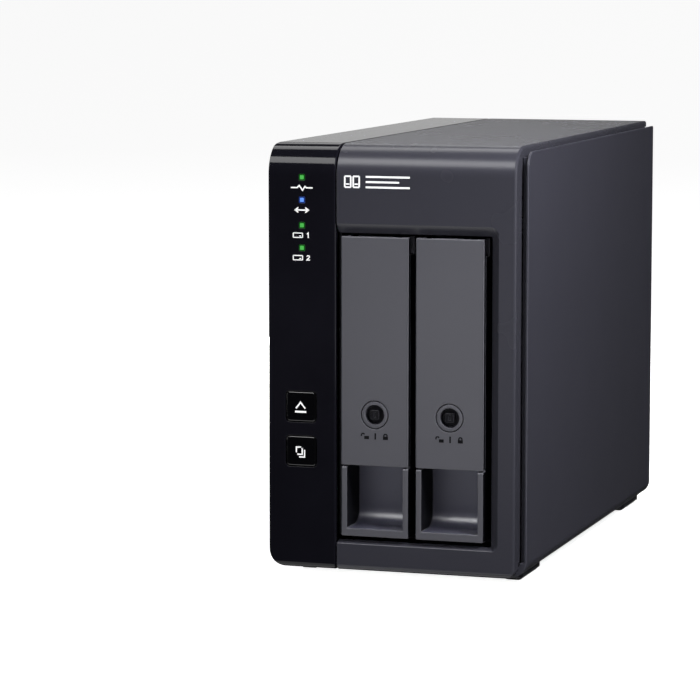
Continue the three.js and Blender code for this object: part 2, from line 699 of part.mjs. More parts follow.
// A push button in the rear panel: cap, retaining flange and plunger.
function rearButton(z, cap, flange) {
  return join(
    cylinderY(PORT_X, z, cap, REAR_BUTTON.cap, REAR_BUTTON.rear, 18),
    cylinderY(PORT_X, z, flange, REAR_BUTTON.flange, PANEL_Y.inner - GAP, 18),
    cylinderY(PORT_X, z, REAR_BUTTON.stem, REAR_BUTTON.stemFront, REAR_BUTTON.stemRear, 8),
  );
}

// Small board behind the front strip: its lamps and the two tactile switches.
function frontBoard() {
  const { face, sheet: thickness, left, right, bottom, top } = FRONT_BOARD;
  const sheet = box(left, right, face, face + thickness, bottom, top);
  const lamps = Object.values(LAMP_Z).map((z) =>
    box(LAMP_X - 1.3, LAMP_X + 1.3, face - 0.7, face + BOARD_BITE, z - 1, z + 1),
  );
  const switches = Object.values(BUTTON_Z).map((z) =>
    box(BUTTON_X - 3, BUTTON_X + 3, face - 3.2, face + BOARD_BITE, z - 3, z + 3),
  );
  return join(sheet, ...lamps, ...switches);
}

// A clear pipe that carries a lamp's light to the front face.
function lightPipe(z) {
  const half = LAMP_SIZE / 2;
  const shoulder = half + LIGHT_PIPE.shoulder;
  const flangeFront = FRONT + WALL + GAP;
  return join(
    box(LAMP_X - half, LAMP_X + half, FRONT, LIGHT_PIPE.rear, z - half, z + half),
    box(
      LAMP_X - shoulder, LAMP_X + shoulder, flangeFront, flangeFront + LIGHT_PIPE.flange,
      z - shoulder, z + shoulder,
    ),
  );
}

function frontButton(z) {
  return join(
    prismY(buttonOutline(z, 0), FRONT + BUTTON.recess, FRONT + WALL + 0.5),
    prismY(buttonOutline(z, BUTTON.flange), FRONT + WALL + GAP, FRONT + WALL + 1.3),
    cylinderY(BUTTON_X, z, 1.6, FRONT + WALL + 1, FRONT_BOARD.face - 4.3, 10),
  );
}

// Flat cable from the front board to the header on the main board.
function frontCable() {
  const middle = new THREE.CatmullRomCurve3([
    new THREE.Vector3(-36, -97.2, 0),
    new THREE.Vector3(-36, -86, 0),
    new THREE.Vector3(-33, -70, 0),
    new THREE.Vector3(-34, -54, 0),
    new THREE.Vector3(-38.6, -46, 0),
    new THREE.Vector3(-39, -40, 0),
  ]);
  const half = RIBBON.thickness / 2;
  const sides = [[], []];
  for (let i = 0; i <= RIBBON.steps; i++) {
    const p = middle.getPoint(i / RIBBON.steps);
    const t = middle.getTangent(i / RIBBON.steps);
    sides[0].push(new THREE.Vector2(p.x - t.y * half, p.y + t.x * half));
    sides[1].push(new THREE.Vector2(p.x + t.y * half, p.y - t.x * half));
  }
  return prismZ(new THREE.Shape([...sides[0], ...sides[1].reverse()]), RIBBON.bottom, RIBBON.top);
}

// ---------------------------------------------------------------- fan

function fanFrame() {
  const half = FAN.size / 2;
  const y1 = FAN_REAR;
  const y0 = y1 - FAN.depth;
  const outline = roundedRectangle(
    FAN.x - half, FAN.x + half, FAN.z - half, FAN.z + half, FAN.corner, 3,
  );
  const body = prismY(outline, y0, y1);
  const duct = cylinderY(FAN.x, FAN.z, FAN.duct, y0 - OVERCUT, y1 + OVERCUT, 40);
  const holes = FAN_SCREWS.map(([x, z]) =>
    cylinderY(x, z, SCREW.hole, y0 - OVERCUT, y1 + OVERCUT, 12),
  );
  const strutY = y1 - 3;
  const mount = cylinderY(FAN.x, FAN.z, FAN.hub, strutY, y1, 24);
  const reach = FAN.duct + 0.5;
  const struts = [
    box(FAN.x - reach, FAN.x + reach, strutY, y1, FAN.z - 1.2, FAN.z + 1.2),
    box(FAN.x - 1.2, FAN.x + 1.2, strutY, y1, FAN.z - reach, FAN.z + reach),
  ];
  return join(cut(body, duct, ...holes), mount, ...struts);
}

function fanRotor() {
  const y0 = FAN_REAR - FAN.depth + 1;
  const y1 = y0 + BLADE.depth;
  const blades = [];
  for (let i = 0; i < BLADE.count; i++) {
    const blade = new THREE.BoxGeometry(BLADE.thickness, BLADE.depth, BLADE.length);
    blade.rotateZ(THREE.MathUtils.degToRad(BLADE.pitch));
    blade.translate(0, 0, BLADE.root + BLADE.length / 2);
    blade.rotateY((2 * Math.PI * i) / BLADE.count).translate(FAN.x, (y0 + y1) / 2, FAN.z);
    blades.push(solidOf(blade));
  }
  return join(cylinderY(FAN.x, FAN.z, FAN.hub, y0, y1, 28), ...blades);
}

// Power lead from the fan to the main board.
function fanCable() {
  const route = new THREE.CatmullRomCurve3([
    new THREE.Vector3(-27.9, 88, 62),
    new THREE.Vector3(-31, 86, 61),
    new THREE.Vector3(-34, 80, 66),
    new THREE.Vector3(-36, 72, 74),
    new THREE.Vector3(-40, 70, 78),
    new THREE.Vector3(BOARD_X.face + GAP, 70, 78),
  ]);
  const section = new THREE.Shape();
  section.absarc(0, 0, 1.1, 0, 2 * Math.PI);
  const options = { extrudePath: route, steps: 14, curveSegments: 4 };
  return solidOf(new THREE.ExtrudeGeometry(section, options));
}

// ---------------------------------------------------------------- drive trays

// The x range of a feature that stands between near and far on one side of the tray's middle.
function sidePair(x, side, { near, far }) {
  return [Math.min(x + side * near, x + side * far), Math.max(x + side * near, x + side * far)];
}

// A rail behind the tray's front moulding, with a channel along its face towards the drive.
function trayRail(x, low, high, channelLow, channelHigh) {
  return cut(
    box(x - RAIL.half, x + RAIL.half, TRAY_BLOCK_REAR - 0.1, DRIVE_REAR + 2, low, high),
    box(
      x - RAIL.channelHalf, x + RAIL.channelHalf, TRAY_BLOCK_REAR + 1, DRIVE_REAR + 3,
      channelLow, channelHigh,
    ),
  );
}

// Tray moulding: a front block with the finger recess and the pocket behind the lever, two hinge ears,
// the latch bar, and two rails.
function trayFrame(x) {
  const pocketRear = TRAY_BLOCK_REAR - POCKET.wall;
  const front = TRAY_FACE - OVERCUT;
  const top = TRAY_TOP + OVERCUT;
  const left = x - TRAY_HALF - OVERCUT;
  const right = x + TRAY_HALF + OVERCUT;
  const block = box(
    x - TRAY_HALF, x + TRAY_HALF, TRAY_FACE, TRAY_BLOCK_REAR, TRAY_BOTTOM, TRAY_TOP,
  );
  const leverSpace = box(left, right, front, LEVER_BACK + GAP, TRAY_SPLIT - 0.5, top);
  const hingeSpace = box(
    left, right, LEVER_BACK, PIVOT.y + PIVOT.sweep + GAP, PIVOT.z - PIVOT.ear - 1, top,
  );
  const pocket = box(x - POCKET.half, x + POCKET.half, LEVER_BACK, pocketRear, POCKET.bottom, top);
  const recess = prismX(roundedOutline([
    [front, RECESS.bottom],
    [TRAY_BLOCK_REAR - RECESS.wall, RECESS.bottom, RECESS.cove],
    [TRAY_BLOCK_REAR - RECESS.wall, RECESS.top],
    [front, RECESS.top],
  ]), x - RECESS.half, x + RECESS.half);
  const ears = [-1, 1].map((side) => {
    const [x0, x1] = sidePair(x, side, EAR_X);
    return join(
      cylinderX(PIVOT.y, PIVOT.z, PIVOT.ear, x0, x1, 20),
      box(x0, x1, PIVOT.y, pocketRear + 0.5, PIVOT.z - PIVOT.ear, PIVOT.z + PIVOT.ear),
    );
  });
  const latchBar = box(
    x - LATCH_BAR.half, x + LATCH_BAR.half, LATCH_BAR.front, LATCH_BAR.rear,
    LATCH_BAR.bottom, LATCH_BAR.top,
  );
  const lowerRail = trayRail(
    x, TRAY_BOTTOM + 0.3, DRIVE_BOTTOM - 0.4, TRAY_BOTTOM + 0.3 + RAIL.skin, DRIVE_BOTTOM,
  );
  const upperRail = trayRail(
    x, DRIVE_TOP + 0.4, TRAY_TOP - 0.1, DRIVE_TOP, TRAY_TOP - 0.1 - RAIL.skin,
  );
  const body = join(
    cut(block, leverSpace, hingeSpace, pocket, recess), ...ears, latchBar, lowerRail, upperRail,
  );
  return cut(body, cylinderX(PIVOT.y, PIVOT.z, PIVOT.hole, x - 11, x + 11, 12));
}

// A strip in a rail's channel whose pins enter the drive's side holes.
function driveClip(x, atTop) {
  const skin = RAIL.skin + GAP;
  const low = atTop ? DRIVE_TOP + CLIP.gap : TRAY_BOTTOM + 0.3 + skin;
  const high = atTop ? TRAY_TOP - 0.1 - skin : DRIVE_BOTTOM - CLIP.gap;
  const strip = box(x - CLIP.half, x + CLIP.half, CLIP.front, CLIP.rear, low, high);
  const pinX = x - DRIVE.thickness / 2 + SIDE_HOLE_OFFSET;
  const [pinLow, pinHigh] = atTop ? [DRIVE_TOP - 2, low + 1] : [high - 1, DRIVE_BOTTOM + 2];
  const pins = SIDE_HOLES_Y.map((y) => cylinderZ(pinX, y, CLIP.pin, pinLow, pinHigh));
  return join(strip, ...pins);
}

function hardDrive(x) {
  const half = DRIVE.thickness / 2;
  const body = prismX(roundedOutline([
    [DRIVE_FRONT, DRIVE_BOTTOM, 3],
    [DRIVE_REAR, DRIVE_BOTTOM],
    [DRIVE_REAR, DRIVE_TOP],
    [DRIVE_FRONT, DRIVE_TOP, 3],
  ], 3), x - half, x + half);
  const plug = box(
    x - half + 1, x - half + 7.5, DRIVE_REAR - 6, DRIVE_REAR + OVERCUT,
    SATA_PLUG.low - 0.5, SATA_PLUG.high + 0.5,
  );
  const boardStep = box(
    x - half - OVERCUT, x - half + 1, DRIVE_FRONT - OVERCUT, DRIVE_FRONT + 60,
    DRIVE_BOTTOM - OVERCUT, DRIVE_TOP + OVERCUT,
  );
  const holeX = x - half + SIDE_HOLE_OFFSET;
  const holeDepth = 2.5;
  const sideHoles = SIDE_HOLES_Y.flatMap((y) => [
    cylinderZ(holeX, y, 1.6, DRIVE_BOTTOM - OVERCUT, DRIVE_BOTTOM + holeDepth),
    cylinderZ(holeX, y, 1.6, DRIVE_TOP - holeDepth, DRIVE_TOP + OVERCUT),
  ]);
  return cut(body, plug, boardStep, ...sideHoles);
}

// Lever: the tray's upper face plate, with hinge knuckles either side of the tray's ears and a lock
// housing. The slots for the ears run up to its top edge, so that they clear the ears as it opens.
function trayLever(x) {
  const plate = prismX(roundedOutline([
    [TRAY_FACE, TRAY_SPLIT],
    [LEVER_BACK, TRAY_SPLIT],
    [LEVER_BACK, TRAY_TOP],
    [TRAY_FACE, TRAY_TOP, 0.5],
  ], 3), x - TRAY_HALF, x + TRAY_HALF);
  const knuckle = cylinderX(
    PIVOT.y, PIVOT.z, PIVOT.knuckle, x - PIVOT.knuckleHalf, x + PIVOT.knuckleHalf, 20,
  );
  const reach = PIVOT.ear + GAP;
  const earSlots = [-1, 1].map((side) => {
    const [x0, x1] = sidePair(x, side, {
      near: EAR_X.near - EAR_CLEARANCE,
      far: EAR_X.far + EAR_CLEARANCE,
    });
    return box(x0, x1, PIVOT.y - reach, PIVOT.y + 6, PIVOT.z - reach - 2, TRAY_TOP + OVERCUT);
  });
  const housing = cylinderY(x, LOCK.z, LOCK.housing, LEVER_BACK - 0.5, LOCK.rear - 1, 24);
  return cut(
    join(plate, knuckle, housing),
    ...earSlots,
    cylinderY(x, LOCK.z, LOCK.hole, FRONT - OVERCUT, LOCK.rear + 1, 28),
    cylinderX(PIVOT.y, PIVOT.z, PIVOT.hole, x - 11.9, x + 11.9, 12),
  );
}

const hingePin = (x) => cylinderX(PIVOT.y, PIVOT.z, PIVOT.pin, x - 11.5, x + 11.5, 12);

// Lock barrel: a ring around a round keyway with a square post, and a cam at its rear end. At rest the
// cam points sideways and the lever is free; turned a quarter, it points down behind the latch bar.
function trayLock(x) {
  const barrel = cylinderY(x, LOCK.z, LOCK.barrel, TRAY_FACE, LOCK.rear, 28);
  const keyway = cylinderY(x, LOCK.z, LOCK.keyway, FRONT - OVERCUT, TRAY_FACE + 3, 24);
  const post = box(
    x - LOCK.post, x + LOCK.post, TRAY_FACE + 0.5, TRAY_FACE + 3.5,
    LOCK.z - LOCK.post, LOCK.z + LOCK.post,
  );
  const cam = box(
    x - LOCK.camHalf, x + LOCK.cam, LOCK.rear - 0.1, LOCK.rear + 1.5,
    LOCK.z - LOCK.camHalf, LOCK.z + LOCK.camHalf,
  );
  return join(cut(barrel, keyway), post, cam);
}

// ---------------------------------------------------------------- assembly

add("left_cover", leftCover(), glossBlack);
add("main_shell", mainShell(), graphite);
add("right_cover", rightCover(), graphite);
add("rear_panel", rearPanel(), blackSteel);

add("foot_front_left", rubberFoot(FOOT.leftX, FOOT.frontY), rubber);
add("foot_front_right", rubberFoot(FOOT.rightX, FOOT.frontY), rubber);
add("foot_rear_left", rubberFoot(FOOT.leftX, FOOT.rearY), rubber);
add("foot_rear_right", rubberFoot(FOOT.rightX, FOOT.rearY), rubber);

add("cage_left_plate", cagePlate(CAGE_X.left, CAGE.jamb), sheetSteel);
add("cage_divider", cagePlate(CAGE_X.divider), sheetSteel);
add("cage_right_plate", cagePlate(CAGE_X.right), sheetSteel);
add("cage_floor", cageFloor(), sheetSteel);
add("cage_roof", cageRoof(), sheetSteel);

add("backplane_board", backplaneBoard(), boardGreen);
add("board_link", box(BOARD_X.face + GAP, -22.3, 62, 68, 84, 112), moduleBlack);
add("main_board", mainBoard(), boardGreen);
add("heatsink", heatsink(), aluminium);
add("usb_socket", usbSocket(), plated);
add("dc_jack", dcJack(), moduleBlack);
add("mode_switch_block", modeSwitchBlock(), moduleBlack);
add("power_switch", tactSwitch(PORT_Z.power, 3), plated);
add("set_switch", tactSwitch(PORT_Z.set, 3), plated);
add("front_board", frontBoard(), boardGreen);
add("front_cable", frontCable(), cableBlack);

add("status_light", lightPipe(LAMP_Z.status), greenLamp);
add("link_light", lightPipe(LAMP_Z.link), blueLamp);
add("disk_1_light", lightPipe(LAMP_Z.disk_1), greenLamp);
add("disk_2_light", lightPipe(LAMP_Z.disk_2), greenLamp);

add("eject_button", frontButton(BUTTON_Z.eject), glossBlack);
add("copy_button", frontButton(BUTTON_Z.copy), glossBlack);
add("power_button", rearButton(PORT_Z.power, 4.2, 5.1), moduleBlack);
add("set_button", rearButton(PORT_Z.set, 1.8, 3), moduleBlack);
[0, 1, 2].forEach((i) => add(`mode_slider_${i + 1}`, modeSlider(i), plated));

add("fan_frame", fanFrame(), moduleBlack);
add("fan_rotor", fanRotor(), moduleBlack);
add("fan_cable", fanCable(), cableBlack);
FAN_SCREWS.forEach(([x, z], i) => {
  add(`fan_screw_${i + 1}`, rearScrew(x, z, SCREW.fanHead, 12), plated);
});
add("case_screw_top", rearScrew(CASE_SCREW.x, CASE_SCREW.top, SCREW.caseHead, 8), plated);
add("case_screw_bottom", rearScrew(CASE_SCREW.x, CASE_SCREW.bottom, SCREW.caseHead, 8), plated);

BAY_X.forEach((x, i) => {
  const bay = i + 1;
  add(`sata_socket_${bay}`, sataSocket(x), moduleBlack);
  add(`tray_${bay}_frame`, trayFrame(x), trayGrey);
  add(`tray_${bay}_top_clip`, driveClip(x, true), moduleBlack);
  add(`tray_${bay}_bottom_clip`, driveClip(x, false), moduleBlack);
  add(`tray_${bay}_hinge_pin`, hingePin(x), plated);
  add(`tray_${bay}_lever`, trayLever(x), trayGrey);
  add(`tray_${bay}_lock`, trayLock(x), trayGrey);
  add(`hard_drive_${bay}`, hardDrive(x), aluminium);
});

export default enclosure;
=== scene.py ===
"""The looks of a two-bay desktop storage enclosure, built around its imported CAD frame.

Shapes are worked out in millimetres, and each finished piece is scaled to metres once, by dress().
"""

import json
import math
from collections import namedtuple

import bmesh
import bpy
from mathutils import Matrix, Vector


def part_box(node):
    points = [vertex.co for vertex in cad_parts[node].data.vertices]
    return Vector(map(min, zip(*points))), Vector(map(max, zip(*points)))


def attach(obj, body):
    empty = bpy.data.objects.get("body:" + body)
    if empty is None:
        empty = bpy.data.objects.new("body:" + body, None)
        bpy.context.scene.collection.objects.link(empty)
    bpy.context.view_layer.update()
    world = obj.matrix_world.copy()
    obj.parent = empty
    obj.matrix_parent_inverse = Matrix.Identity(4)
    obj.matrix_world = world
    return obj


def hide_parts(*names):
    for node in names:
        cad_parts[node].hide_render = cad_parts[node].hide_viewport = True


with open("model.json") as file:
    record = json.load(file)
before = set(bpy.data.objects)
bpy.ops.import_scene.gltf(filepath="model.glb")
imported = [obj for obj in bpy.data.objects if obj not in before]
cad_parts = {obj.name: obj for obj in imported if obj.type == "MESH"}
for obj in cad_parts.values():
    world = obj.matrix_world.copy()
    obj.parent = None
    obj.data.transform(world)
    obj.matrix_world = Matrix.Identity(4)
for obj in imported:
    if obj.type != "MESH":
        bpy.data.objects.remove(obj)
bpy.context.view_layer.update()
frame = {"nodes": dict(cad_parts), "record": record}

# ---------------------------------------------------------------- places from the frame

MM = 0.001
Box = namedtuple("Box", "x0 x1 y0 y1 z0 z1")


def cad(node):
    """A CAD node's box, in millimetres."""
    low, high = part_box(node)
    low, high = low / MM, high / MM
    return Box(low.x, high.x, low.y, high.y, low.z, high.z)


def middle(box):
    return (box.x0 + box.x1) / 2, (box.y0 + box.y1) / 2, (box.z0 + box.z1) / 2


BODY_OF = {
    node: body for body, nodes in frame["record"]["behaviour"]["bodies"].items() for node in nodes
}
SLOT_OF = {part["node"]: part["material_slot"] for part in frame["record"]["subparts"]}

COVER = cad("left_cover")
SHELL = cad("main_shell")
PANEL = cad("right_cover")
REAR_SHEET = cad("rear_panel")
FRONT = COVER.y0
REAR = COVER.y1
TOP = COVER.z1
BASE = SHELL.z0
TRAYS = [1, 2]

# ---------------------------------------------------------------- driving dimensions (mm)

INK = 0.05  # printed marks stand this far proud of the faces that carry them
FACE = FRONT + INK
CUT = 1  # how far a cutting tool passes the face that it opens
GAP = 0.3
WALL = 2.5
HAIRLINE = 0.06  # edges shorter than this are merged before an edge is rounded
SLIVER = 0.003  # edges shorter than this are merged after it
SAME_POINT = 1e-5
TOUCHING = 0.01  # a point closer than this to a plane counts as on it

TOP_FRONT_RADIUS = 12
BOTTOM_FRONT_RADIUS = 2.5
LEFT_BOTTOM_RADIUS = 7
LEFT_TOP_RADIUS = 1.5
RIGHT_BOTTOM_RADIUS = 5.5
PANEL_CORNER = 6.5
PANEL_SKIN = 0.9
SHADOW_GAP = 2
SEAM_ROUNDING = 0.8
SHELL_ROUNDING = 1.1

OPENING = {"right": 37.9, "bottom": 15, "top": 134.4}
CHAMFER = {"right": 3.4, "bottom": 1.2, "top": 3.8, "depth": 3.2}
OPENING_LIP = 3.5

RECESS = {"half": 11.25, "rise": 3, "cove": 6, "rear": -93, "top": 50}
POCKET = {"half": 11.6, "bottom": 52.5, "rear": -94}
PIVOT = {"y": -106, "z": 129.4, "hole": 1.1, "ear": 1.9, "knuckle": 2.4, "near": 8, "far": 10}
LATCH = {"half": 12, "front": -101.2, "rear": -99.4, "bottom": 52, "top": 56.9}
LEVER_BACK = -106.2
HINGE_SLOT = {"rear": -100.7, "bottom": 126.5}
RAIL = {"half": 13, "channel": 11.5}
LOCK_Z = 64.6
LOCK_HOUSING = 7.2
LOCK_HOLE = 5.55
LOCK_BARREL = 5.2
POST_HALF = 1.75

BUTTON = {"half_x": 6.1, "half_z": 5.8, "corner": 1.5, "rounding": 0.5}
LAMP_HALF = 0.78
LAMP_BEZEL = 1.2

FOOT = {"length": 28, "width": 8.4, "rim": 1, "corner": 1.5, "boss": 1.0, "pocket": 2.2}
FAN = {"duct": 33.2, "hub": 15, "tip": 31.6, "blades": 7, "screw": 30, "boss": 3.6, "hole": 1.9}
GRILLE = {"rows": 5, "pitch": 5.5, "half": 1.8, "end": 1.71, "rib": 1.2}
FLOOR_VENT = {"x": (-8, 22), "half": 9, "first": -40, "pitch": 22, "width": 4, "count": 5}
PORT_X = -37
PORT_HOLES = {"power_button": 4.5, "set_button": 2.1, "dc_jack": 4.8}
MODE_WINDOW = {"half_x": 4.3, "half_z": 6.3}
SECURITY_SLOT = {"half": 1.6, "bottom": 46.4, "top": 53.6, "corner": 0.9}
USB = {"half_x": 1.6, "half_z": 4.5}

DRIVE = {
    "lid": 0.9,  # the lid's underside, measured in from the outer face
    "hub": 54,  # from the front end to the middle of the platters
    "holes": (28.5, 130.1),  # the mounting holes, from the connector end
    "hole_x": 6.35,
    "hole": 1.6,
    "hole_depth": 2.5,
}
LID_SCREW = {"hole": 0.9, "rim": 1.0, "head": 1.8, "shank": 2.1}
CHIPS = (  # place from the connector end and from the lower edge, and half of each side
    (-44, 44, 7, 7), (-26, 52, 5, 8), (-30, 26, 4, 4), (-58, 36, 3, 5), (-16, 70, 4, 4),
)

# ---------------------------------------------------------------- outlines and solids (mm)


def rounded(corners, steps=6):
    """An outline whose corners are (u, v) or (u, v, radius)."""
    points = []
    for i, corner in enumerate(corners):
        here = Vector(corner[:2])
        radius = corner[2] if len(corner) == 3 else 0
        if radius <= 0:
            points.append(here)
            continue
        before = (Vector(corners[i - 1][:2]) - here).normalized()
        after = (Vector(corners[(i + 1) % len(corners)][:2]) - here).normalized()
        half = before.angle(after) / 2
        centre = here + (before + after).normalized() * (radius / math.sin(half))
        start = here + before * (radius / math.tan(half)) - centre
        turn = math.pi - 2 * half
        if before.x * after.y - before.y * after.x > 0:
            turn = -turn
        for k in range(steps + 1):
            spoke = Matrix.Rotation(turn * k / steps, 2) @ start
            points.append(centre + spoke)
    return points


def rectangle(u0, u1, v0, v1, radius=0, steps=6):
    return rounded([(u0, v0, radius), (u1, v0, radius), (u1, v1, radius), (u0, v1, radius)], steps)


def both_sides(x, near, far):
    """The ranges from near to far on either side of x, each in rising order."""
    return [sorted((x + side * near, x + side * far)) for side in (-1, 1)]


def circle(u, v, radius, sides):
    turns = [2 * math.pi * i / sides for i in range(sides)]
    return [Vector((u + radius * math.cos(t), v + radius * math.sin(t))) for t in turns]


def placed(axis, u, v, depth):
    """The point of an outline that lies at depth along axis."""
    if axis == "X":
        return Vector((depth, u, v))
    if axis == "Y":
        return Vector((u, depth, v))
    return Vector((u, v, depth))


def link(name, mesh):
    """A new object. Its second material slot is for edges that hands have rubbed."""
    while len(mesh.materials) < 2:
        mesh.materials.append(None)
    piece = bpy.data.objects.new(name, mesh)
    bpy.context.scene.collection.objects.link(piece)
    return piece


def finished(shape, name):
    """A new object from a mesh that has been worked out."""
    mesh = bpy.data.meshes.new(name)
    shape.to_mesh(mesh)
    shape.free()
    return link(name, mesh)


def facing_out(shape, name):
    """A new object from a closed mesh, with its faces turned outwards."""
    bmesh.ops.recalc_face_normals(shape, faces=shape.faces)
    return finished(shape, name)


def skinned(rings):
    """A closed solid through rings of points of the same count."""
    shape = bmesh.new()
    rows = [[shape.verts.new(point) for point in ring] for ring in rings]
    count = len(rows[0])
    for row, following in zip(rows, rows[1:]):
        for i in range(count):
            j = (i + 1) % count
            shape.faces.new((row[i], row[j], following[j], following[i]))
    shape.faces.new(rows[0])
    shape.faces.new(rows[-1])
    return facing_out(shape, "solid")


def lofted(axis, stations):
    """A closed solid through outlines of the same count: stations are (outline, depth)."""
    return skinned([
        [placed(axis, u, v, depth) for u, v in outline] for outline, depth in stations
    ])


def prism(axis, outline, low, high):
    return lofted(axis, [(outline, low), (outline, high)])


def block(x0, x1, y0, y1, z0, z1):
    return prism("Z", rectangle(x0, x1, y0, y1), z0, z1)


def turned(axis, centre, profile, sides=48):
    """A solid of revolution: profile is (radius, depth) from one end of the axis to the other."""
    shape = bmesh.new()
    rings = []
    for radius, depth in profile:
        if radius == 0:
            rings.append([shape.verts.new(placed(axis, *centre, depth))])
        else:
            outline = circle(*centre, radius, sides)
            rings.append([shape.verts.new(placed(axis, u, v, depth)) for u, v in outline])
    for ring, following in zip(rings, rings[1:]):
        for i in range(sides):
            j = (i + 1) % sides
            if len(ring) == 1:
                shape.faces.new((ring[0], following[i], following[j]))
            elif len(following) == 1:
                shape.faces.new((ring[i], ring[j], following[0]))
            else:
                shape.faces.new((ring[i], ring[j], following[j], following[i]))
    bmesh.ops.remove_doubles(shape, verts=shape.verts, dist=SAME_POINT)
    return facing_out(shape, "turned")


def cylinder(axis, centre, radius, low, high, sides=40):
    return prism(axis, circle(*centre, radius, sides), low, high)


def discard(piece):
    mesh = piece.data
    bpy.data.objects.remove(piece)
    bpy.data.meshes.remove(mesh)


def apply_modifiers(piece):
    graph = bpy.context.evaluated_depsgraph_get()
    mesh = bpy.data.meshes.new_from_object(piece.evaluated_get(graph))
    old = piece.data
    piece.modifiers.clear()
    piece.data = mesh
    bpy.data.meshes.remove(old)
    return piece


def combined(operation, piece, tools):
    for tool in tools:
        step = piece.modifiers.new("combine", "BOOLEAN")
        step.operation = operation
        step.solver = "MANIFOLD"
        step.object = tool
    apply_modifiers(piece)
    for tool in tools:
        discard(tool)
    return piece


def cut(piece, *tools):
    return combined("DIFFERENCE", piece, tools)


def join(piece, *tools):
    return combined("UNION", piece, tools)


def intersect(piece, *tools):
    return combined("INTERSECT", piece, tools)


def together(pieces):
    """Separate solids as one object, with no join between them."""
    shape = bmesh.new()
    for piece in pieces:
        shape.from_mesh(piece.data)
        discard(piece)
    return finished(shape, "group")


def round_edges(piece, chosen, width, segments=4):
    """Rounds the sharp edges both of whose ends pass the chosen test."""
    shape = bmesh.new()
    shape.from_mesh(piece.data)
    edges = [
        e for e in shape.edges
        if len(e.link_faces) == 2 and e.calc_face_angle() > math.radians(30)
        and all(chosen(v.co) for v in e.verts)
    ]
    bmesh.ops.bevel(
        shape, geom=edges, offset=width, offset_type="OFFSET", segments=segments,
        profile=0.5, affect="EDGES", clamp_overlap=True,
    )
    shape.to_mesh(piece.data)
    shape.free()
    return piece


def weld(piece, distance):
    """Merges points closer than the distance, such as the hairline edges that a cut leaves."""
    step = piece.modifiers.new("weld", "WELD")
    step.merge_threshold = distance


def bevel(piece, width, segments, angle):
    """A rounding on every edge that is sharper than the angle, in degrees."""
    step = piece.modifiers.new("bevel", "BEVEL")
    step.width = width
    step.segments = segments
    step.limit_method = "ANGLE"
    step.angle_limit = math.radians(angle)
    return step


def soften(piece, width, segments=2, angle=32):
    """A small rounding on every edge that is sharper than the angle, with the worn material."""
    weld(piece, HAIRLINE)
    step = bevel(piece, width, segments, angle)
    step.material = 1
    step.use_clamp_overlap = False
    weld(piece, SLIVER)
    return apply_modifiers(piece)


def stroke(points, width, y0, y1):
    """A mitred ribbon along points (x, z), standing on a front face between y0 and y1."""
    centre = [Vector(p) for p in points]
    left, right = [], []
    for i, here in enumerate(centre):
        ways = []
        if i > 0:
            ways.append((here - centre[i - 1]).normalized())
        if i < len(centre) - 1:
            ways.append((centre[i + 1] - here).normalized())
        way = sum(ways, Vector((0, 0))).normalized()
        side = Vector((-way.y, way.x))
        spread = width / 2 / max(0.3, side.dot(Vector((-ways[0].y, ways[0].x))))
        left.append(here + side * spread)
        right.append(here - side * spread)
    shape = bmesh.new()
    left_low, left_high, right_low, right_high = [
        [shape.verts.new((p.x, y, p.y)) for p in side] for side in (left, right) for y in (y0, y1)
    ]
    for i in range(len(centre) - 1):
        for a, b in (
            (left_low, right_low), (left_high, right_high),
            (left_low, left_high), (right_low, right_high),
        ):
            shape.faces.new((a[i], a[i + 1], b[i + 1], b[i]))
    for i in (0, -1):
        shape.faces.new((left_low[i], right_low[i], right_high[i], left_high[i]))
    return facing_out(shape, "stroke")


def weigh_normals(piece):
    """Lets the large faces lead the shading, so that a flat face stays flat to its edge."""
    step = piece.modifiers.new("normals", "WEIGHTED_NORMAL")
    step.weight = 80
    return step


def smooth(piece):
    """Shades a piece smooth, but for the edges sharper than 50 degrees."""
    piece.data.shade_smooth()
    piece.data.set_sharp_from_angle(angle=math.radians(50))
    weigh_normals(piece).keep_sharp = True


def dress(piece, name, material, body, slot=None, stands_for=()):
    """Scales a finished piece to metres, gives it its material, and hangs it on its body."""
    piece.name = name
    piece.data.name = name
    piece.data.transform(Matrix.Scale(MM, 4))
    piece.data.materials[0] = material
    piece.data.materials[1] = WORN_EDGE.get(material.name, material)
    smooth(piece)
    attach(piece, body)
    if stands_for:
        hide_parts(*stands_for)
    return piece


def repaint(piece, material, chosen):
    """Gives another material to the faces that pass the chosen test of centre (mm) and normal."""
    slot = len(piece.data.materials)
    piece.data.materials.append(material)
    for face in piece.data.polygons:
        if face.material_index != 1 and chosen(face.center / MM, face.normal):
            face.material_index = slot
    return piece


def stand_in(piece, node, material):
    """Dresses a piece that takes a CAD node's place, on that node's body."""
    return dress(piece, f"{node}_fine", material, BODY_OF[node], SLOT_OF[node], (node,))


def detail(piece, name, node, material, slot=None):
    """Dresses a piece that is added to a CAD node's body."""
    return dress(piece, name, material, BODY_OF[node], slot)


def keep_node(node, material, width=0.25):
    """Shows a CAD node itself, with softened edges and a material."""
    piece = frame["nodes"][node]
    piece.data.materials.clear()
    piece.data.materials.append(material)
    weld(piece, 1e-6)
    bevel(piece, width * MM, 2, 40)
    weigh_normals(piece)


# ---------------------------------------------------------------- materials


def node_material(name):
    material = bpy.data.materials.new(name)
    material.use_nodes = True
    tree = material.node_tree
    shader = tree.nodes["Principled BSDF"]
    place = tree.nodes.new("ShaderNodeTexCoord")
    return material, tree, shader, place.outputs["Object"]


def noise(tree, place, scale, detail_level=3, roughness=0.55):
    """A noise texture whose features are about 1 / scale metres across."""
    texture = tree.nodes.new("ShaderNodeTexNoise")
    texture.inputs["Scale"].default_value = scale
    texture.inputs["Detail"].default_value = detail_level
    texture.inputs["Roughness"].default_value = roughness
    tree.links.new(place, texture.inputs["Vector"])
    return texture.outputs["Fac"]


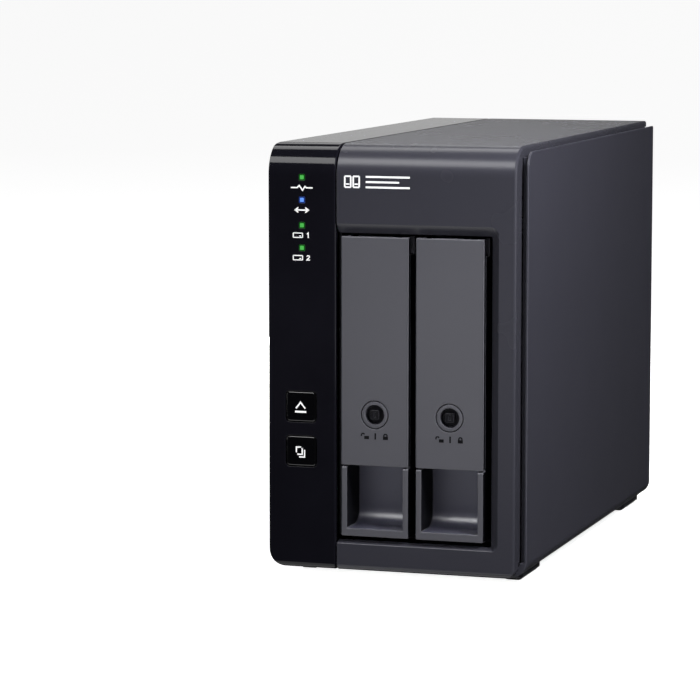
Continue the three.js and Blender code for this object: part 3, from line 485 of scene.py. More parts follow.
def ranged(tree, value, low, high, start=0.3, end=0.7):
    spread = tree.nodes.new("ShaderNodeMapRange")
    spread.inputs["From Min"].default_value = start
    spread.inputs["From Max"].default_value = end
    spread.inputs["To Min"].default_value = low
    spread.inputs["To Max"].default_value = high
    tree.links.new(value, spread.inputs["Value"])
    return spread.outputs["Result"]


def drive(tree, socket, value, low, high):
    """Lets a noise move a number between low and high."""
    tree.links.new(ranged(tree, value, low, high), socket)


def blended(tree, amount, first, second):
    """A colour that goes from first to second; each is a colour or another output."""
    mix = tree.nodes.new("ShaderNodeMix")
    mix.data_type = "RGBA"
    tree.links.new(amount, mix.inputs["Factor"])
    for socket, colour in ((mix.inputs["A"], first), (mix.inputs["B"], second)):
        if isinstance(colour, tuple):
            socket.default_value = (*colour, 1)
        else:
            tree.links.new(colour, socket)
    return mix.outputs["Result"]


def bumped(tree, shader, height, depth):
    """Raises the surface by a noise, by depth in millimetres."""
    bump = tree.nodes.new("ShaderNodeBump")
    bump.inputs["Distance"].default_value = depth * MM
    bump.inputs["Strength"].default_value = 1
    tree.links.new(height, bump.inputs["Height"])
    tree.links.new(bump.outputs["Normal"], shader.inputs["Normal"])


def clouded(tree, socket, cloud, first, second):
    """Lets a noise move a colour between first and second."""
    tree.links.new(blended(tree, ranged(tree, cloud, 0, 1), first, second), socket)


def times(colour, factor):
    return tuple(c * factor for c in colour)


WORN_EDGE = {}  # the name of a material -> the material of its rubbed edges


def plastic(name, colour, roughness, specular, grain, grain_scale):
    """Moulded plastic: a fine grain, and a slow drift of shade."""
    material, tree, shader, place = node_material(name)
    drift = noise(tree, place, 14, 2)
    clouded(tree, shader.inputs["Base Color"], drift, colour, times(colour, 1.06))
    patch = noise(tree, place, 40, 2)
    drive(tree, shader.inputs["Roughness"], patch, roughness - 0.005, roughness + 0.005)
    shader.inputs["Specular IOR Level"].default_value = specular
    bumped(tree, shader, noise(tree, place, grain_scale, 2, 0.6), grain)
    return material


def moulded(name, colour, worn, roughness, specular, grain=0.0035, grain_scale=2600):
    """Moulded plastic whose edges hands have rubbed lighter and smoother."""
    material = plastic(name, colour, roughness, specular, grain, grain_scale)
    WORN_EDGE[name] = plastic(
        f"{name}_worn", worn, roughness * 0.85, specular, grain / 3, grain_scale,
    )
    return material


def polished(name, colour, roughness, specular):
    """High-gloss plastic whose edges catch more light than its faces."""
    material = gloss(name, colour, roughness, specular)
    WORN_EDGE[name] = gloss(f"{name}_edge", colour, roughness, specular * 5)
    return material


def gloss(name, colour, roughness, specular):
    """Polished plastic: faint waviness and wiping marks."""
    material, tree, shader, place = node_material(name)
    drift = noise(tree, place, 30, 3)
    clouded(tree, shader.inputs["Base Color"], drift, colour, times(colour, 1.3))
    wiping = noise(tree, place, 320, 6, 0.7)
    drive(tree, shader.inputs["Roughness"], wiping, roughness, roughness + 0.05)
    shader.inputs["Specular IOR Level"].default_value = specular
    bumped(tree, shader, noise(tree, place, 60, 1), 0.004)
    return material


def metal(name, colour, roughness, brushed=0.0, bare=1.0):
    """Metal, brushed or not. The share of it that is not bare is dull oxide."""
    material, tree, shader, place = node_material(name)
    shader.inputs["Metallic"].default_value = bare
    tone = noise(tree, place, 60, 4)
    clouded(tree, shader.inputs["Base Color"], tone, times(colour, 0.8), colour)
    drive(tree, shader.inputs["Roughness"], tone, roughness - 0.06, roughness + 0.06)
    if brushed:
        stretch = tree.nodes.new("ShaderNodeMapping")
        stretch.inputs["Scale"].default_value = (1, 1, 0.02)
        tree.links.new(place, stretch.inputs["Vector"])
        bumped(tree, shader, noise(tree, stretch.outputs["Vector"], 3000, 2), brushed)
    else:
        bumped(tree, shader, noise(tree, place, 900, 3), 0.01)
    return material


def lamp(name, colour, strength):
    """A lit light pipe, its glow a little uneven."""
    material, tree, shader, place = node_material(name)
    cloud = noise(tree, place, 700, 2)
    clouded(tree, shader.inputs["Emission Color"], cloud, colour, times(colour, 1.15))
    shader.inputs["Emission Strength"].default_value = strength
    shader.inputs["Base Color"].default_value = (*times(colour, 0.1), 1)
    shader.inputs["Specular IOR Level"].default_value = 0.1
    drive(tree, shader.inputs["Roughness"], cloud, 0.25, 0.4)
    return material


def circuit_board(name):
    """Solder resist over copper tracks."""
    material, tree, shader, place = node_material(name)
    tracks = tree.nodes.new("ShaderNodeTexBrick")
    tracks.inputs["Scale"].default_value = 150
    tracks.inputs["Mortar Size"].default_value = 0.012
    turn = tree.nodes.new("ShaderNodeMapping")
    turn.inputs["Rotation"].default_value = (0, math.radians(90), math.radians(90))
    tree.links.new(place, turn.inputs["Vector"])
    tree.links.new(turn.outputs["Vector"], tracks.inputs["Vector"])
    resist = ranged(tree, noise(tree, place, 40), 0, 1)
    base = blended(tree, resist, (0.006, 0.05, 0.022), (0.01, 0.07, 0.03))
    tree.links.new(
        blended(tree, tracks.outputs["Fac"], base, (0.03, 0.16, 0.08)), shader.inputs["Base Color"],
    )
    drive(tree, shader.inputs["Roughness"], noise(tree, place, 300), 0.25, 0.45)
    bumped(tree, shader, tracks.outputs["Fac"], 0.02)
    return material


def printed(name, colour):
    """Screen-printed ink, a little uneven."""
    material, tree, shader, place = node_material(name)
    speckle = noise(tree, place, 2400, 3)
    clouded(tree, shader.inputs["Base Color"], speckle, times(colour, 0.93), colour)
    shader.inputs["Specular IOR Level"].default_value = 0.1
    drive(tree, shader.inputs["Roughness"], speckle, 0.45, 0.6)
    return material


GLOSS_BLACK = polished("gloss_black", (0.0033, 0.0032, 0.005), 0.06, 0.13)
BUTTON_BLACK = polished("button_black", (0.001, 0.001, 0.0014), 0.1, 0.1)
GRAPHITE = moulded("graphite", (0.024, 0.024, 0.031), (0.034, 0.034, 0.042), 0.27, 0.2)
SIDE_GRAPHITE = moulded("side_graphite", (0.024, 0.024, 0.032), (0.04, 0.04, 0.05), 0.36, 0.22)
TRAY_GREY = moulded("tray_grey", (0.052, 0.052, 0.061), (0.08, 0.08, 0.09), 0.36, 0.3, 0.006, 1900)
# The finger recess: a grey with a stronger specular, darker and bluer than the tray's as painted
# shade.
RECESS_PAINTED_SHADE_GREY = moulded("recess_painted_shade_grey", (0.034, 0.034, 0.05), (0.07, 0.07, 0.08), 0.36, 1.0)
# Near-black painted shade for the sideways faces of a tray, in the gaps beside it and in its finger
# recess.
TRAY_PAINTED_SHADE = moulded("tray_painted_shade", (0.003, 0.003, 0.004), (0.004, 0.004, 0.005), 0.5, 0.05)
KEYWAY_BLACK = moulded("keyway_black", (0.003, 0.003, 0.004), (0.02, 0.02, 0.024), 0.35, 0.2)
BLACK_PLASTIC = moulded("black_plastic", (0.012, 0.012, 0.013), (0.025, 0.025, 0.027), 0.42, 0.35)
RUBBER = moulded("foot_rubber", (0.012, 0.012, 0.012), (0.02, 0.02, 0.02), 0.85, 0.2, 0.05, 1200)
CABLE = moulded("cable", (0.012, 0.012, 0.013), (0.02, 0.02, 0.02), 0.55, 0.3, 0.02, 1500)
BLACK_STEEL = moulded(
    "black_steel", (0.024, 0.024, 0.026), (0.04, 0.04, 0.042), 0.42, 0.35, 0.03, 1700,
)
# Black-painted steel, made near black as painted shade for the gaps beside and between the trays.
CAGE_BLACK_AND_SHADE = moulded(
    "cage_black_and_painted_shade", (0.004, 0.004, 0.005), (0.01, 0.01, 0.011), 0.5, 0.08, 0.01, 1700,
)
PLATED = metal("plated", (0.62, 0.63, 0.65), 0.22)
CAST_ALUMINIUM = metal("cast_aluminium", (0.34, 0.35, 0.37), 0.55, bare=0.4)
BRIGHT_STEEL = metal("bright_steel", (0.4, 0.41, 0.43), 0.5, brushed=0.012, bare=0.4)
GREEN_LAMP = lamp("green_lamp", (0.075, 0.46, 0.08), 0.85)
BLUE_LAMP = lamp("blue_lamp", (0.13, 0.31, 0.86), 0.9)
# Glowing frames around the lamps: a painted halo of their light.
GREEN_PAINTED_HALO = lamp("green_painted_halo", (0.006, 0.1, 0.008), 0.55)
BLUE_PAINTED_HALO = lamp("blue_painted_halo", (0.008, 0.03, 0.2), 0.7)
BOARD_GREEN = circuit_board("circuit_board")
WHITE_INK = printed("white_ink", (0.86, 0.86, 0.87))
BLACK_INK = printed("black_ink", (0.0015, 0.0015, 0.002))
LABEL_WHITE = printed("label_white", (0.62, 0.63, 0.64))

# ---------------------------------------------------------------- covers


def side_outline(inset, rear):
    """The case's side outline (y, z): a large radius at the top of the front, a small one below."""
    return rounded([
        (rear, BASE + inset),
        (rear, TOP - inset),
        (FACE + inset, TOP - inset, TOP_FRONT_RADIUS - inset),
        (FACE + inset, BASE + inset, max(BOTTOM_FRONT_RADIUS - inset, 0.4)),
    ], 14)


def foot_outline(foot, margin, corner):
    """The plan of a foot's boss, drawn in by margin."""
    x, y, _ = middle(cad(foot))
    half_x = FOOT["width"] / 2 - margin
    half_y = FOOT["length"] / 2 - margin
    return rectangle(x - half_x, x + half_x, y - half_y, y + half_y, corner, 4)


def foot_bosses(feet):
    return [prism("Z", foot_outline(f, 0, FOOT["corner"]), FOOT["boss"], BASE + 1) for f in feet]


def foot_pockets(feet):
    return [
        prism("Z", foot_outline(f, FOOT["rim"], 0.5), FOOT["boss"] - CUT, FOOT["pocket"])
        for f in feet
    ]


def button_outline(node, margin=0.0):
    cap = cad(node)
    x, _, z = middle(cap)
    half_x = BUTTON["half_x"] + margin
    half_z = BUTTON["half_z"] + margin
    corner = BUTTON["corner"] + margin
    return rectangle(x - half_x, x + half_x, z - half_z, z + half_z, corner, 6)


LAMPS = {
    "status_light": GREEN_LAMP,
    "link_light": BLUE_LAMP,
    "disk_1_light": GREEN_LAMP,
    "disk_2_light": GREEN_LAMP,
}
BUTTONS = ("eject_button", "copy_button")


def beside_buttons(p):
    """Whether a point is on the front face at the edge of a button's hole."""
    half_x = BUTTON["half_x"] + BUTTON["rounding"]
    half_z = BUTTON["half_z"] + BUTTON["rounding"]
    for node in BUTTONS:
        x, _, z = middle(cad(node))
        if abs(p.x - x) < half_x and abs(p.z - z) < half_z and p.y < FACE + TOUCHING:
            return True
    return False


def left_cover():
    """Glossy cover: left wall, front strip, top strip and bottom strip."""
    outer = prism("X", side_outline(0, REAR), COVER.x0, COVER.x1)
    round_edges(outer, lambda p: abs(p.x - COVER.x1) < TOUCHING, SEAM_ROUNDING, 5)
    intersect(outer, prism("Y", rounded([
        (COVER.x0, BASE, LEFT_BOTTOM_RADIUS),
        (COVER.x1 + CUT, BASE),
        (COVER.x1 + CUT, TOP),
        (COVER.x0, TOP, LEFT_TOP_RADIUS),
    ], 10), FRONT - CUT, REAR + CUT))
    hollow = prism("X", side_outline(WALL, REAR + CUT), COVER.x0 + WALL, COVER.x1 + CUT)
    intersect(hollow, prism("Y", rounded([
        (COVER.x0 + WALL, BASE + WALL, LEFT_BOTTOM_RADIUS - WALL),
        (COVER.x1 + 2 * CUT, BASE + WALL),
        (COVER.x1 + 2 * CUT, TOP - WALL),
        (COVER.x0 + WALL, TOP - WALL),
    ], 6), FRONT - CUT, REAR + 2 * CUT))
    cut(outer, hollow)
    feet = ["foot_front_left", "foot_rear_left"]
    join(outer, *foot_bosses(feet))
    tools = foot_pockets(feet)
    for node in LAMPS:
        x, _, z = middle(cad(node))
        half = LAMP_BEZEL + 0.05
        window = rectangle(x - half, x + half, z - half, z + half, 0.3, 3)
        tools.append(prism("Y", window, FRONT - CUT, FRONT + WALL + CUT))
    for node in BUTTONS:
        tools.append(prism("Y", button_outline(node, GAP), FRONT - CUT, FRONT + WALL + CUT))
    cut(outer, *tools)
    round_edges(outer, beside_buttons, BUTTON["rounding"], 4)
    return soften(outer, 0.22, 3)


def main_shell():
    """Matt shell: the front frame around the two bays, the top, and its flanges."""
    outer = prism("X", side_outline(0, REAR), SHELL.x0, SHELL.x1)
    round_edges(outer, lambda p: abs(p.x - SHELL.x1) < TOUCHING, SHELL_ROUNDING, 5)
    round_edges(outer, lambda p: abs(p.x - SHELL.x0) < TOUCHING, 0.4, 3)
    intersect(outer, prism("Y", rounded([
        (SHELL.x0 - CUT, BASE),
        (SHELL.x1, BASE, RIGHT_BOTTOM_RADIUS - 1.5),
        (SHELL.x1, TOP + CUT),
        (SHELL.x0 - CUT, TOP + CUT),
    ], 8), FRONT - CUT, REAR + CUT))
    cut(outer, prism("X", side_outline(WALL, REAR + CUT), SHELL.x0 - CUT, SHELL.x1 - WALL))
    surround = block(
        SHELL.x0, OPENING["right"] + CHAMFER["right"] + 2, FRONT + 1, FRONT + OPENING_LIP,
        OPENING["bottom"] - 4, OPENING["top"] + CHAMFER["top"] + 1,
    )
    join(outer, surround)
    cut(outer, opening_tool())
    round_edges(outer, lambda p: abs(p.y - FACE) < TOUCHING, 0.7, 5)
    right = SHELL.x1 + CUT
    inside = SHELL.x1 - WALL - TOUCHING
    flange = 10
    return soften(cut(
        outer,
        block(SHELL.x0 - CUT, right, PANEL.y0 - GAP, REAR + CUT, BASE - CUT, BASE + WALL + 3),
        block(inside, right, FRONT + flange, REAR + CUT, BASE - CUT, TOP - flange),
        block(inside, right, REAR_SHEET.y0 - GAP, REAR + CUT, BASE - CUT, TOP - WALL),
    ), 0.22, 3)


def opening_tool():
    """The bays' opening: a straight throat, and a chamfer whose corners are rounded."""
    left = SHELL.x0 - CUT

    def outline(grow, top_corner, bottom_corner):
        right = OPENING["right"] + CHAMFER["right"] * grow
        low = OPENING["bottom"] - CHAMFER["bottom"] * grow
        high = OPENING["top"] + CHAMFER["top"] * grow
        return rounded([
            (left, low), (right, low, bottom_corner), (right, high, top_corner), (left, high),
        ], 8)

    throat = outline(0, 1.0, 0.8)
    return lofted("Y", [
        (outline(1 + 1 / CHAMFER["depth"], 4.2, 3.2), FACE - 1),
        (throat, FACE + CHAMFER["depth"]),
        (throat, FRONT + 14),
    ])


def right_cover():
    """Right-hand cover: a side wall with a thin rim, curving under into the floor."""
    inner_x = SHELL.x1 + GAP
    floor_top = BASE + WALL
    body = prism("Y", rounded([
        (SHELL.x0, BASE),
        (PANEL.x1, BASE, RIGHT_BOTTOM_RADIUS),
        (PANEL.x1, PANEL.z1, 0.6),
        (inner_x, PANEL.z1),
        (inner_x, floor_top, RIGHT_BOTTOM_RADIUS - WALL),
        (SHELL.x0, floor_top),
    ], 8), PANEL.y0, REAR)
    intersect(body, prism("X", rounded([
        (PANEL.y0, BASE - CUT),
        (REAR, BASE - CUT),
        (REAR, PANEL.z1),
        (PANEL.y0, PANEL.z1, PANEL_CORNER),
    ], 10), SHELL.x0 - CUT, PANEL.x1 + CUT))
    feet = ["foot_front_right", "foot_rear_right"]
    join(body, *foot_bosses(feet))
    rim = PANEL.x1 - PANEL_SKIN
    tools = foot_pockets(feet)
    tools.append(block(
        inner_x - CUT, rim, PANEL.y0 - CUT, PANEL.y0 + SHADOW_GAP, RIGHT_BOTTOM_RADIUS + BASE, TOP,
    ))
    tools.append(block(
        inner_x - CUT, rim, PANEL.y0 - CUT, REAR + CUT, PANEL.z1 - SHADOW_GAP, TOP,
    ))
    half = FLOOR_VENT["half"]
    for x in FLOOR_VENT["x"]:
        for i in range(FLOOR_VENT["count"]):
            y = FLOOR_VENT["first"] + FLOOR_VENT["pitch"] * i
            slot = rectangle(x - half, x + half, y, y + FLOOR_VENT["width"], 1.9, 5)
            tools.append(prism("Z", slot, BASE - CUT, floor_top + CUT))
    return soften(cut(body, *tools), 0.25, 3)


def rear_panel():
    """Rear sheet with the fan grille, socket cut-outs, security slot and screw holes."""
    low = REAR_SHEET.y0 - CUT
    high = REAR_SHEET.y1 + CUT
    sheet = prism("Y", rounded([
        (REAR_SHEET.x0, REAR_SHEET.z0, LEFT_BOTTOM_RADIUS - WALL),
        (REAR_SHEET.x1, REAR_SHEET.z0, RIGHT_BOTTOM_RADIUS),
        (REAR_SHEET.x1, REAR_SHEET.z1),
        (REAR_SHEET.x0, REAR_SHEET.z1),
    ], 6), REAR_SHEET.y0, REAR_SHEET.y1)
    fan_x, _, fan_z = middle(cad("fan_frame"))
    tools = []
    radius = FAN["duct"] - 1
    for row in range(-GRILLE["rows"], GRILLE["rows"] + 1):
        z = fan_z + row * GRILLE["pitch"]
        reach = math.sqrt(radius ** 2 - (abs(row) * GRILLE["pitch"] + GRILLE["half"]) ** 2)
        for x0, x1 in both_sides(fan_x, GRILLE["rib"], reach):
            slot = rectangle(x0, x1, z - GRILLE["half"], z + GRILLE["half"], GRILLE["end"], 5)
            tools.append(prism("Y", slot, low, high))
    for screw in SCREWS:
        x, _, z = middle(cad(screw))
        tools.append(cylinder("Y", (x, z), FAN["hole"], low, high, 24))
    for node, radius in PORT_HOLES.items():
        z = middle(cad(node))[2]
        tools.append(cylinder("Y", (PORT_X, z), radius, low, high, 40))
    mode_z = middle(cad("mode_switch_block"))[2]
    mode_window = rectangle(
        PORT_X - MODE_WINDOW["half_x"], PORT_X + MODE_WINDOW["half_x"],
        mode_z - MODE_WINDOW["half_z"], mode_z + MODE_WINDOW["half_z"], 0.6, 3,
    )
    usb_window = usb_outline(middle(cad("usb_socket"))[2], 0.35)
    security_slot = rectangle(
        PORT_X - SECURITY_SLOT["half"], PORT_X + SECURITY_SLOT["half"],
        SECURITY_SLOT["bottom"], SECURITY_SLOT["top"], SECURITY_SLOT["corner"], 4,
    )
    for window in (mode_window, usb_window, security_slot):
        tools.append(prism("Y", window, low, high))
    return soften(cut(sheet, *tools), 0.18, 2)


def usb_outline(z, margin):
    half_x = USB["half_x"] + margin
    half_z = USB["half_z"] + margin
    return rectangle(PORT_X - half_x, PORT_X + half_x, z - half_z, z + half_z, half_x * 0.96, 8)


def foot(node):
    """A rubber foot with grooves across its underside."""
    box = cad(node)
    pad = prism("Z", foot_outline(node, FOOT["rim"] + GAP, FOOT["corner"] / 2), box.z0, box.z1)
    grooves = []
    for i in range(5):
        y = box.y0 + (i + 1) * (box.y1 - box.y0) / 6
        grooves.append(block(
            box.x0 - CUT, box.x1 + CUT, y - 0.5, y + 0.5, box.z0 - CUT, box.z0 + 0.5,
        ))
    return soften(cut(pad, *grooves), 0.2, 2)


# ---------------------------------------------------------------- trays


def hinge_ears(x):
    """The ears on either side of x that hold a lever's hinge pin."""
    ears = []
    for near, far in both_sides(x, PIVOT["near"], PIVOT["far"]):
        ears.append(cylinder("X", (PIVOT["y"], PIVOT["z"]), PIVOT["ear"], near, far, 32))
        ears.append(block(
            near, far, PIVOT["y"], POCKET["rear"] + 0.5,
            PIVOT["z"] - PIVOT["ear"], PIVOT["z"] + PIVOT["ear"],
        ))
    return ears


def tray_rails(tray, x, front):
    """The rails below and above the drive, each with a channel along its face towards it."""
    box = cad(f"tray_{tray}_frame")
    drive = cad(f"hard_drive_{tray}")
    rails = []
    for low, high, channel_low, channel_high in (
        (box.z0 + 0.3, drive.z0 - 0.4, box.z0 + 2.5, drive.z0),
        (drive.z1 + 0.4, box.z1 - 0.1, drive.z1, box.z1 - 2.3),
    ):
        rail = block(x - RAIL["half"], x + RAIL["half"], front - 0.1, box.y1, low, high)
        rails.append(cut(rail, block(
            x - RAIL["channel"], x + RAIL["channel"], front + 1, box.y1 + CUT,
            channel_low, channel_high,
        )))
    return rails


def tray_frame(tray):
    """Tray moulding: front block with finger recess and lever pocket, hinge ears, and two rails."""
    box = cad(f"tray_{tray}_frame")
    lever = cad(f"tray_{tray}_lever")
    x = middle(box)[0]
    rear = RECESS["rear"] + 1.5
    split = lever.z0 - 0.5
    body = block(box.x0, box.x1, box.y0, rear, box.z0, box.z1)
    recess = prism("X", rounded([
        (box.y0 - CUT, box.z0 + RECESS["rise"]),
        (RECESS["rear"], box.z0 + RECESS["rise"], RECESS["cove"]),
        (RECESS["rear"], RECESS["top"]),
        (box.y0 - CUT, RECESS["top"]),
    ], 14), x - RECESS["half"], x + RECESS["half"])
    cut(
        body,
        block(box.x0 - CUT, box.x1 + CUT, FRONT - CUT, LEVER_BACK + GAP, split, box.z1 + CUT),
        block(
            box.x0 - CUT, box.x1 + CUT, LEVER_BACK, HINGE_SLOT["rear"],
            HINGE_SLOT["bottom"], box.z1 + CUT,
        ),
        block(
            x - POCKET["half"], x + POCKET["half"], LEVER_BACK, POCKET["rear"],
            POCKET["bottom"], box.z1 + CUT,
        ),
        recess,
    )
    round_edges(
        body, lambda p: abs(p.z - split) < TOUCHING and p.y < box.y0 + TOUCHING, 0.9, 3,
    )
    latch = block(
        x - LATCH["half"], x + LATCH["half"], LATCH["front"], LATCH["rear"],
        LATCH["bottom"], LATCH["top"],
    )
    join(body, latch, *hinge_ears(x), *tray_rails(tray, x, rear))
    cut(body, cylinder("X", (PIVOT["y"], PIVOT["z"]), PIVOT["hole"], x - 11, x + 11, 24))
    return soften(body, 0.28, 3)


def tray_lever(tray):
    """The tray's upper face plate, with hinge knuckles, ear slots and a lock housing."""
    box = cad(f"tray_{tray}_lever")
    x = middle(box)[0]
    plate = prism("X", rounded([
        (box.y0, box.z0, 0.3),
        (LEVER_BACK, box.z0),
        (LEVER_BACK, box.z1),
        (box.y0, box.z1, 0.5),
    ], 4), box.x0, box.x1)
    round_edges(
        plate,
        lambda p: p.y < box.y0 + TOUCHING and min(p.x - box.x0, box.x1 - p.x) < TOUCHING,
        0.35, 3,
    )
    join(
        plate,
        cylinder("X", (PIVOT["y"], PIVOT["z"]), PIVOT["knuckle"], x - 12.4, x + 12.4, 40),
        cylinder("Y", (x, LOCK_Z), LOCK_HOUSING, LEVER_BACK - 0.5, box.y1, 56),
    )
    reach = PIVOT["ear"] + GAP
    slack = 0.4
    tools = [
        cylinder("Y", (x, LOCK_Z), LOCK_HOLE, FRONT - CUT, box.y1 + CUT, 64),
        cylinder("X", (PIVOT["y"], PIVOT["z"]), PIVOT["hole"], x - 11.9, x + 11.9, 24),
    ]
    for near, far in both_sides(x, PIVOT["near"] - slack, PIVOT["far"] + slack):
        tools.append(block(
            near, far, PIVOT["y"] - reach, PIVOT["y"] + 6, PIVOT["z"] - reach - 2, box.z1 + CUT,
        ))
    return soften(cut(plate, *tools), 0.2, 3)


def tray_lock(tray):
    """Lock barrel: a ring flush with the plate around its keyway, and the cam behind."""
    box = cad(f"tray_{tray}_lock")
    x = middle(cad(f"tray_{tray}_lever"))[0]
    front = box.y0 + INK
    rear = -98.5
    barrel = turned("Y", (x, LOCK_Z), [
        (0, front + 2.6), (3.75, front + 2.6), (3.75, front + 0.25), (3.95, front),
        (LOCK_BARREL - 0.15, front), (LOCK_BARREL, front + 0.15), (LOCK_BARREL, rear), (0, rear),
    ], 72)
    cam = block(x - 2, box.x1, rear - 0.1, box.y1, LOCK_Z - 2, LOCK_Z + 2)
    join(barrel, soften(cam, 0.3, 2))
    return barrel


def keyway(tray):
    """The keyway's dark lining, with the square post that a key slides over."""
    box = cad(f"tray_{tray}_lock")
    x = middle(cad(f"tray_{tray}_lever"))[0]
    front = box.y0 + INK
    lining = turned("Y", (x, LOCK_Z), [
        (0, front + 1.9), (3.3, front + 1.9), (3.45, front + 0.5), (3.7, front + 0.5),
        (3.7, front + 2.7), (0, front + 2.7),
    ], 72)
    square = rectangle(
        x - POST_HALF, x + POST_HALF, LOCK_Z - POST_HALF, LOCK_Z + POST_HALF, 0.6, 4,
    )
    post = prism("Y", square, front + 0.35, front + 2.2)
    slit = block(x - 0.3, x + 0.3, front - CUT, front + 1.4, LOCK_Z - 0.9, LOCK_Z + 0.9)
    return join(lining, soften(cut(post, slit), 0.15, 2))


def painted_shade_faces(tray):
    """A test for the faces of a tray that face sideways, behind its front edges: they get a
    near-black painted shade, for the gaps beside the trays and the side walls of the finger recess.
    """
    box = cad(f"tray_{tray}_lever")
    x = middle(box)[0]
    return lambda p, normal: abs(p.x - x) > RECESS["half"] - 0.1 and abs(normal.x) > 0.95


def in_recess(tray):
    """A test for the smooth faces inside a tray's finger recess, which get a grey darker and bluer
    than the tray's, as painted shade.
    """
    box = cad(f"tray_{tray}_frame")
    x = middle(box)[0]
    return lambda p, normal: (
        abs(p.x - x) < RECESS["half"] + 0.1 and box.y0 + 0.4 < p.y < RECESS["rear"] + 0.1
        and box.z0 + RECESS["rise"] - 0.1 < p.z < RECESS["top"] + 0.1
    )


def hinge_pin(tray):
    box = cad(f"tray_{tray}_hinge_pin")
    centre = (PIVOT["y"], PIVOT["z"])
    return turned("X", centre, [
        (0, box.x0), (0.6, box.x0), (0.8, box.x0 + 0.2), (0.8, box.x1 - 0.2), (0.6, box.x1),
        (0, box.x1),
    ], 24)


def drive_casting(box, plug):
    """The drive's body, with a well for its board, mounting holes and a place for the plug."""
    casting = prism("X", rounded([
        (box.y0, box.z0, 3), (box.y1, box.z0, 0.6), (box.y1, box.z1, 0.6), (box.y0, box.z1, 3),
    ], 6), box.x0 + 0.8, box.x1 - DRIVE["lid"])
    board_well = rectangle(box.y1 - 78, box.y1 + CUT, box.z0 + 5, box.z1 - 5, 4, 5)
    tools = [prism("X", board_well, box.x0 - CUT, box.x0 + 3.6)]
    for distance in DRIVE["holes"]:
        centre = (box.x0 + DRIVE["hole_x"], box.y1 - distance)
        for low, high in (
            (box.z0 - CUT, box.z0 + DRIVE["hole_depth"]),
            (box.z1 - DRIVE["hole_depth"], box.z1 + CUT),
        ):
            tools.append(cylinder("Z", centre, DRIVE["hole"], low, high, 20))
    tools.append(block(box.x0, box.x0 + 7.5, box.y1 - 6, box.y1 + CUT, plug.z0 + 2, plug.z1 - 2))
    return soften(cut(casting, *tools), 0.5, 3)


def drive_lid(box):
    """The pressed lid, with a raised ring over the platters."""
    lid = prism("X", rounded([
        (box.y0 + 2, box.z0 + 2, 5), (box.y1 - 14, box.z0 + 2, 5), (box.y1 - 8, box.z0 + 14, 6),
        (box.y1 - 8, box.z1 - 14, 6), (box.y1 - 14, box.z1 - 2, 5), (box.y0 + 2, box.z1 - 2, 5),
    ], 6), box.x1 - DRIVE["lid"] - 0.2, box.x1 - 0.35)
    pressing = turned("X", (box.y0 + DRIVE["hub"], middle(box)[2]), [
        (0, box.x1 - 0.6), (46, box.x1 - 0.6), (47, box.x1 - 0.1), (45, box.x1 - 0.02),
        (17, box.x1 - 0.02), (15, box.x1 - 0.2), (0, box.x1 - 0.2),
    ], 96)
    return soften(join(lid, pressing), 0.15, 2, 40)


def drive_lid_screws(box):
    mid_z = middle(box)[2]
    return together([
        turned("X", place, [
            (0, box.x1 - 0.5), (LID_SCREW["shank"], box.x1 - 0.5),
            (LID_SCREW["shank"], box.x1 - 0.15), (LID_SCREW["head"], box.x1),
            (LID_SCREW["rim"], box.x1), (LID_SCREW["hole"], box.x1 - 0.4), (0, box.x1 - 0.4),
        ], 24)
        for place in (
            (box.y0 + 6, box.z0 + 6), (box.y0 + 6, box.z1 - 6), (box.y1 - 20, box.z0 + 7),
            (box.y1 - 20, box.z1 - 7), (box.y1 - 13, mid_z), (box.y0 + 5, mid_z),
        )
    ])


def drive_label(box):
    z = middle(box)[2]
    outline = rectangle(box.y1 - 52, box.y1 - 22, z - 30, z + 30, 1.5, 4)
    return prism("X", outline, box.x1 - 0.5, box.x1 - 0.3)


def drive_board(box):
    board = prism("X", rounded([
        (box.y1 - 76, box.z0 + 7, 3), (box.y1 - 1, box.z0 + 7, 1), (box.y1 - 1, box.z1 - 7, 1),
        (box.y1 - 40, box.z1 - 7, 6), (box.y1 - 52, box.z1 - 34, 6), (box.y1 - 76, box.z1 - 34, 3),
    ], 5), box.x0 + 1.2, box.x0 + 2.3)
    return soften(board, 0.1, 1)


def drive_chips(box):
    chips = []
    for y, z, half_y, half_z in CHIPS:
        y += box.y1
        z += box.z0
        chip = block(box.x0 + 0.2, box.x0 + 1.3, y - half_y, y + half_y, z - half_z, z + half_z)
        chips.append(soften(chip, 0.15, 1))
    return together(chips)


def drive_hub(box):
    return turned("X", (box.y0 + DRIVE["hub"], middle(box)[2]), [
        (0, box.x0 + 0.15), (9, box.x0 + 0.15), (10, box.x0 + 0.5), (16, box.x0 + 0.5),
        (17, box.x0 + 0.9), (0, box.x0 + 0.9),
    ], 72)


def drive_connector(box, plug):
    z = middle(plug)[2]
    blade = block(box.x0 + 2.4, box.x0 + 6.2, box.y1 - 6.2, box.y1 - 0.6, z - 20, z + 20)
    cut(blade, block(box.x0 + 3.4, box.x0 + 7, box.y1 - 5.4, box.y1, z - 19, z + 19))
    return soften(blade, 0.1, 1)


def drive_pieces(tray):
    """A hard drive: casting, lid and screws, label, circuit board with chips, hub and connector."""
    node = f"hard_drive_{tray}"
    box = cad(node)
    plug = cad(f"sata_socket_{tray}")
    stand_in(drive_casting(box, plug), node, CAST_ALUMINIUM)
    for name, piece, material, slot in (
        ("lid", drive_lid(box), BRIGHT_STEEL, None),
        ("lid_screws", drive_lid_screws(box), PLATED, None),
        ("label", drive_label(box), LABEL_WHITE, None),
        ("board", drive_board(box), BOARD_GREEN, "circuit_board"),
        ("chips", drive_chips(box), BLACK_PLASTIC, "black_plastic"),
        ("motor_hub", drive_hub(box), BRIGHT_STEEL, None),
        ("connector", drive_connector(box, plug), BLACK_PLASTIC, "black_plastic"),
    ):
        detail(piece, f"{node}_{name}", node, material, slot)


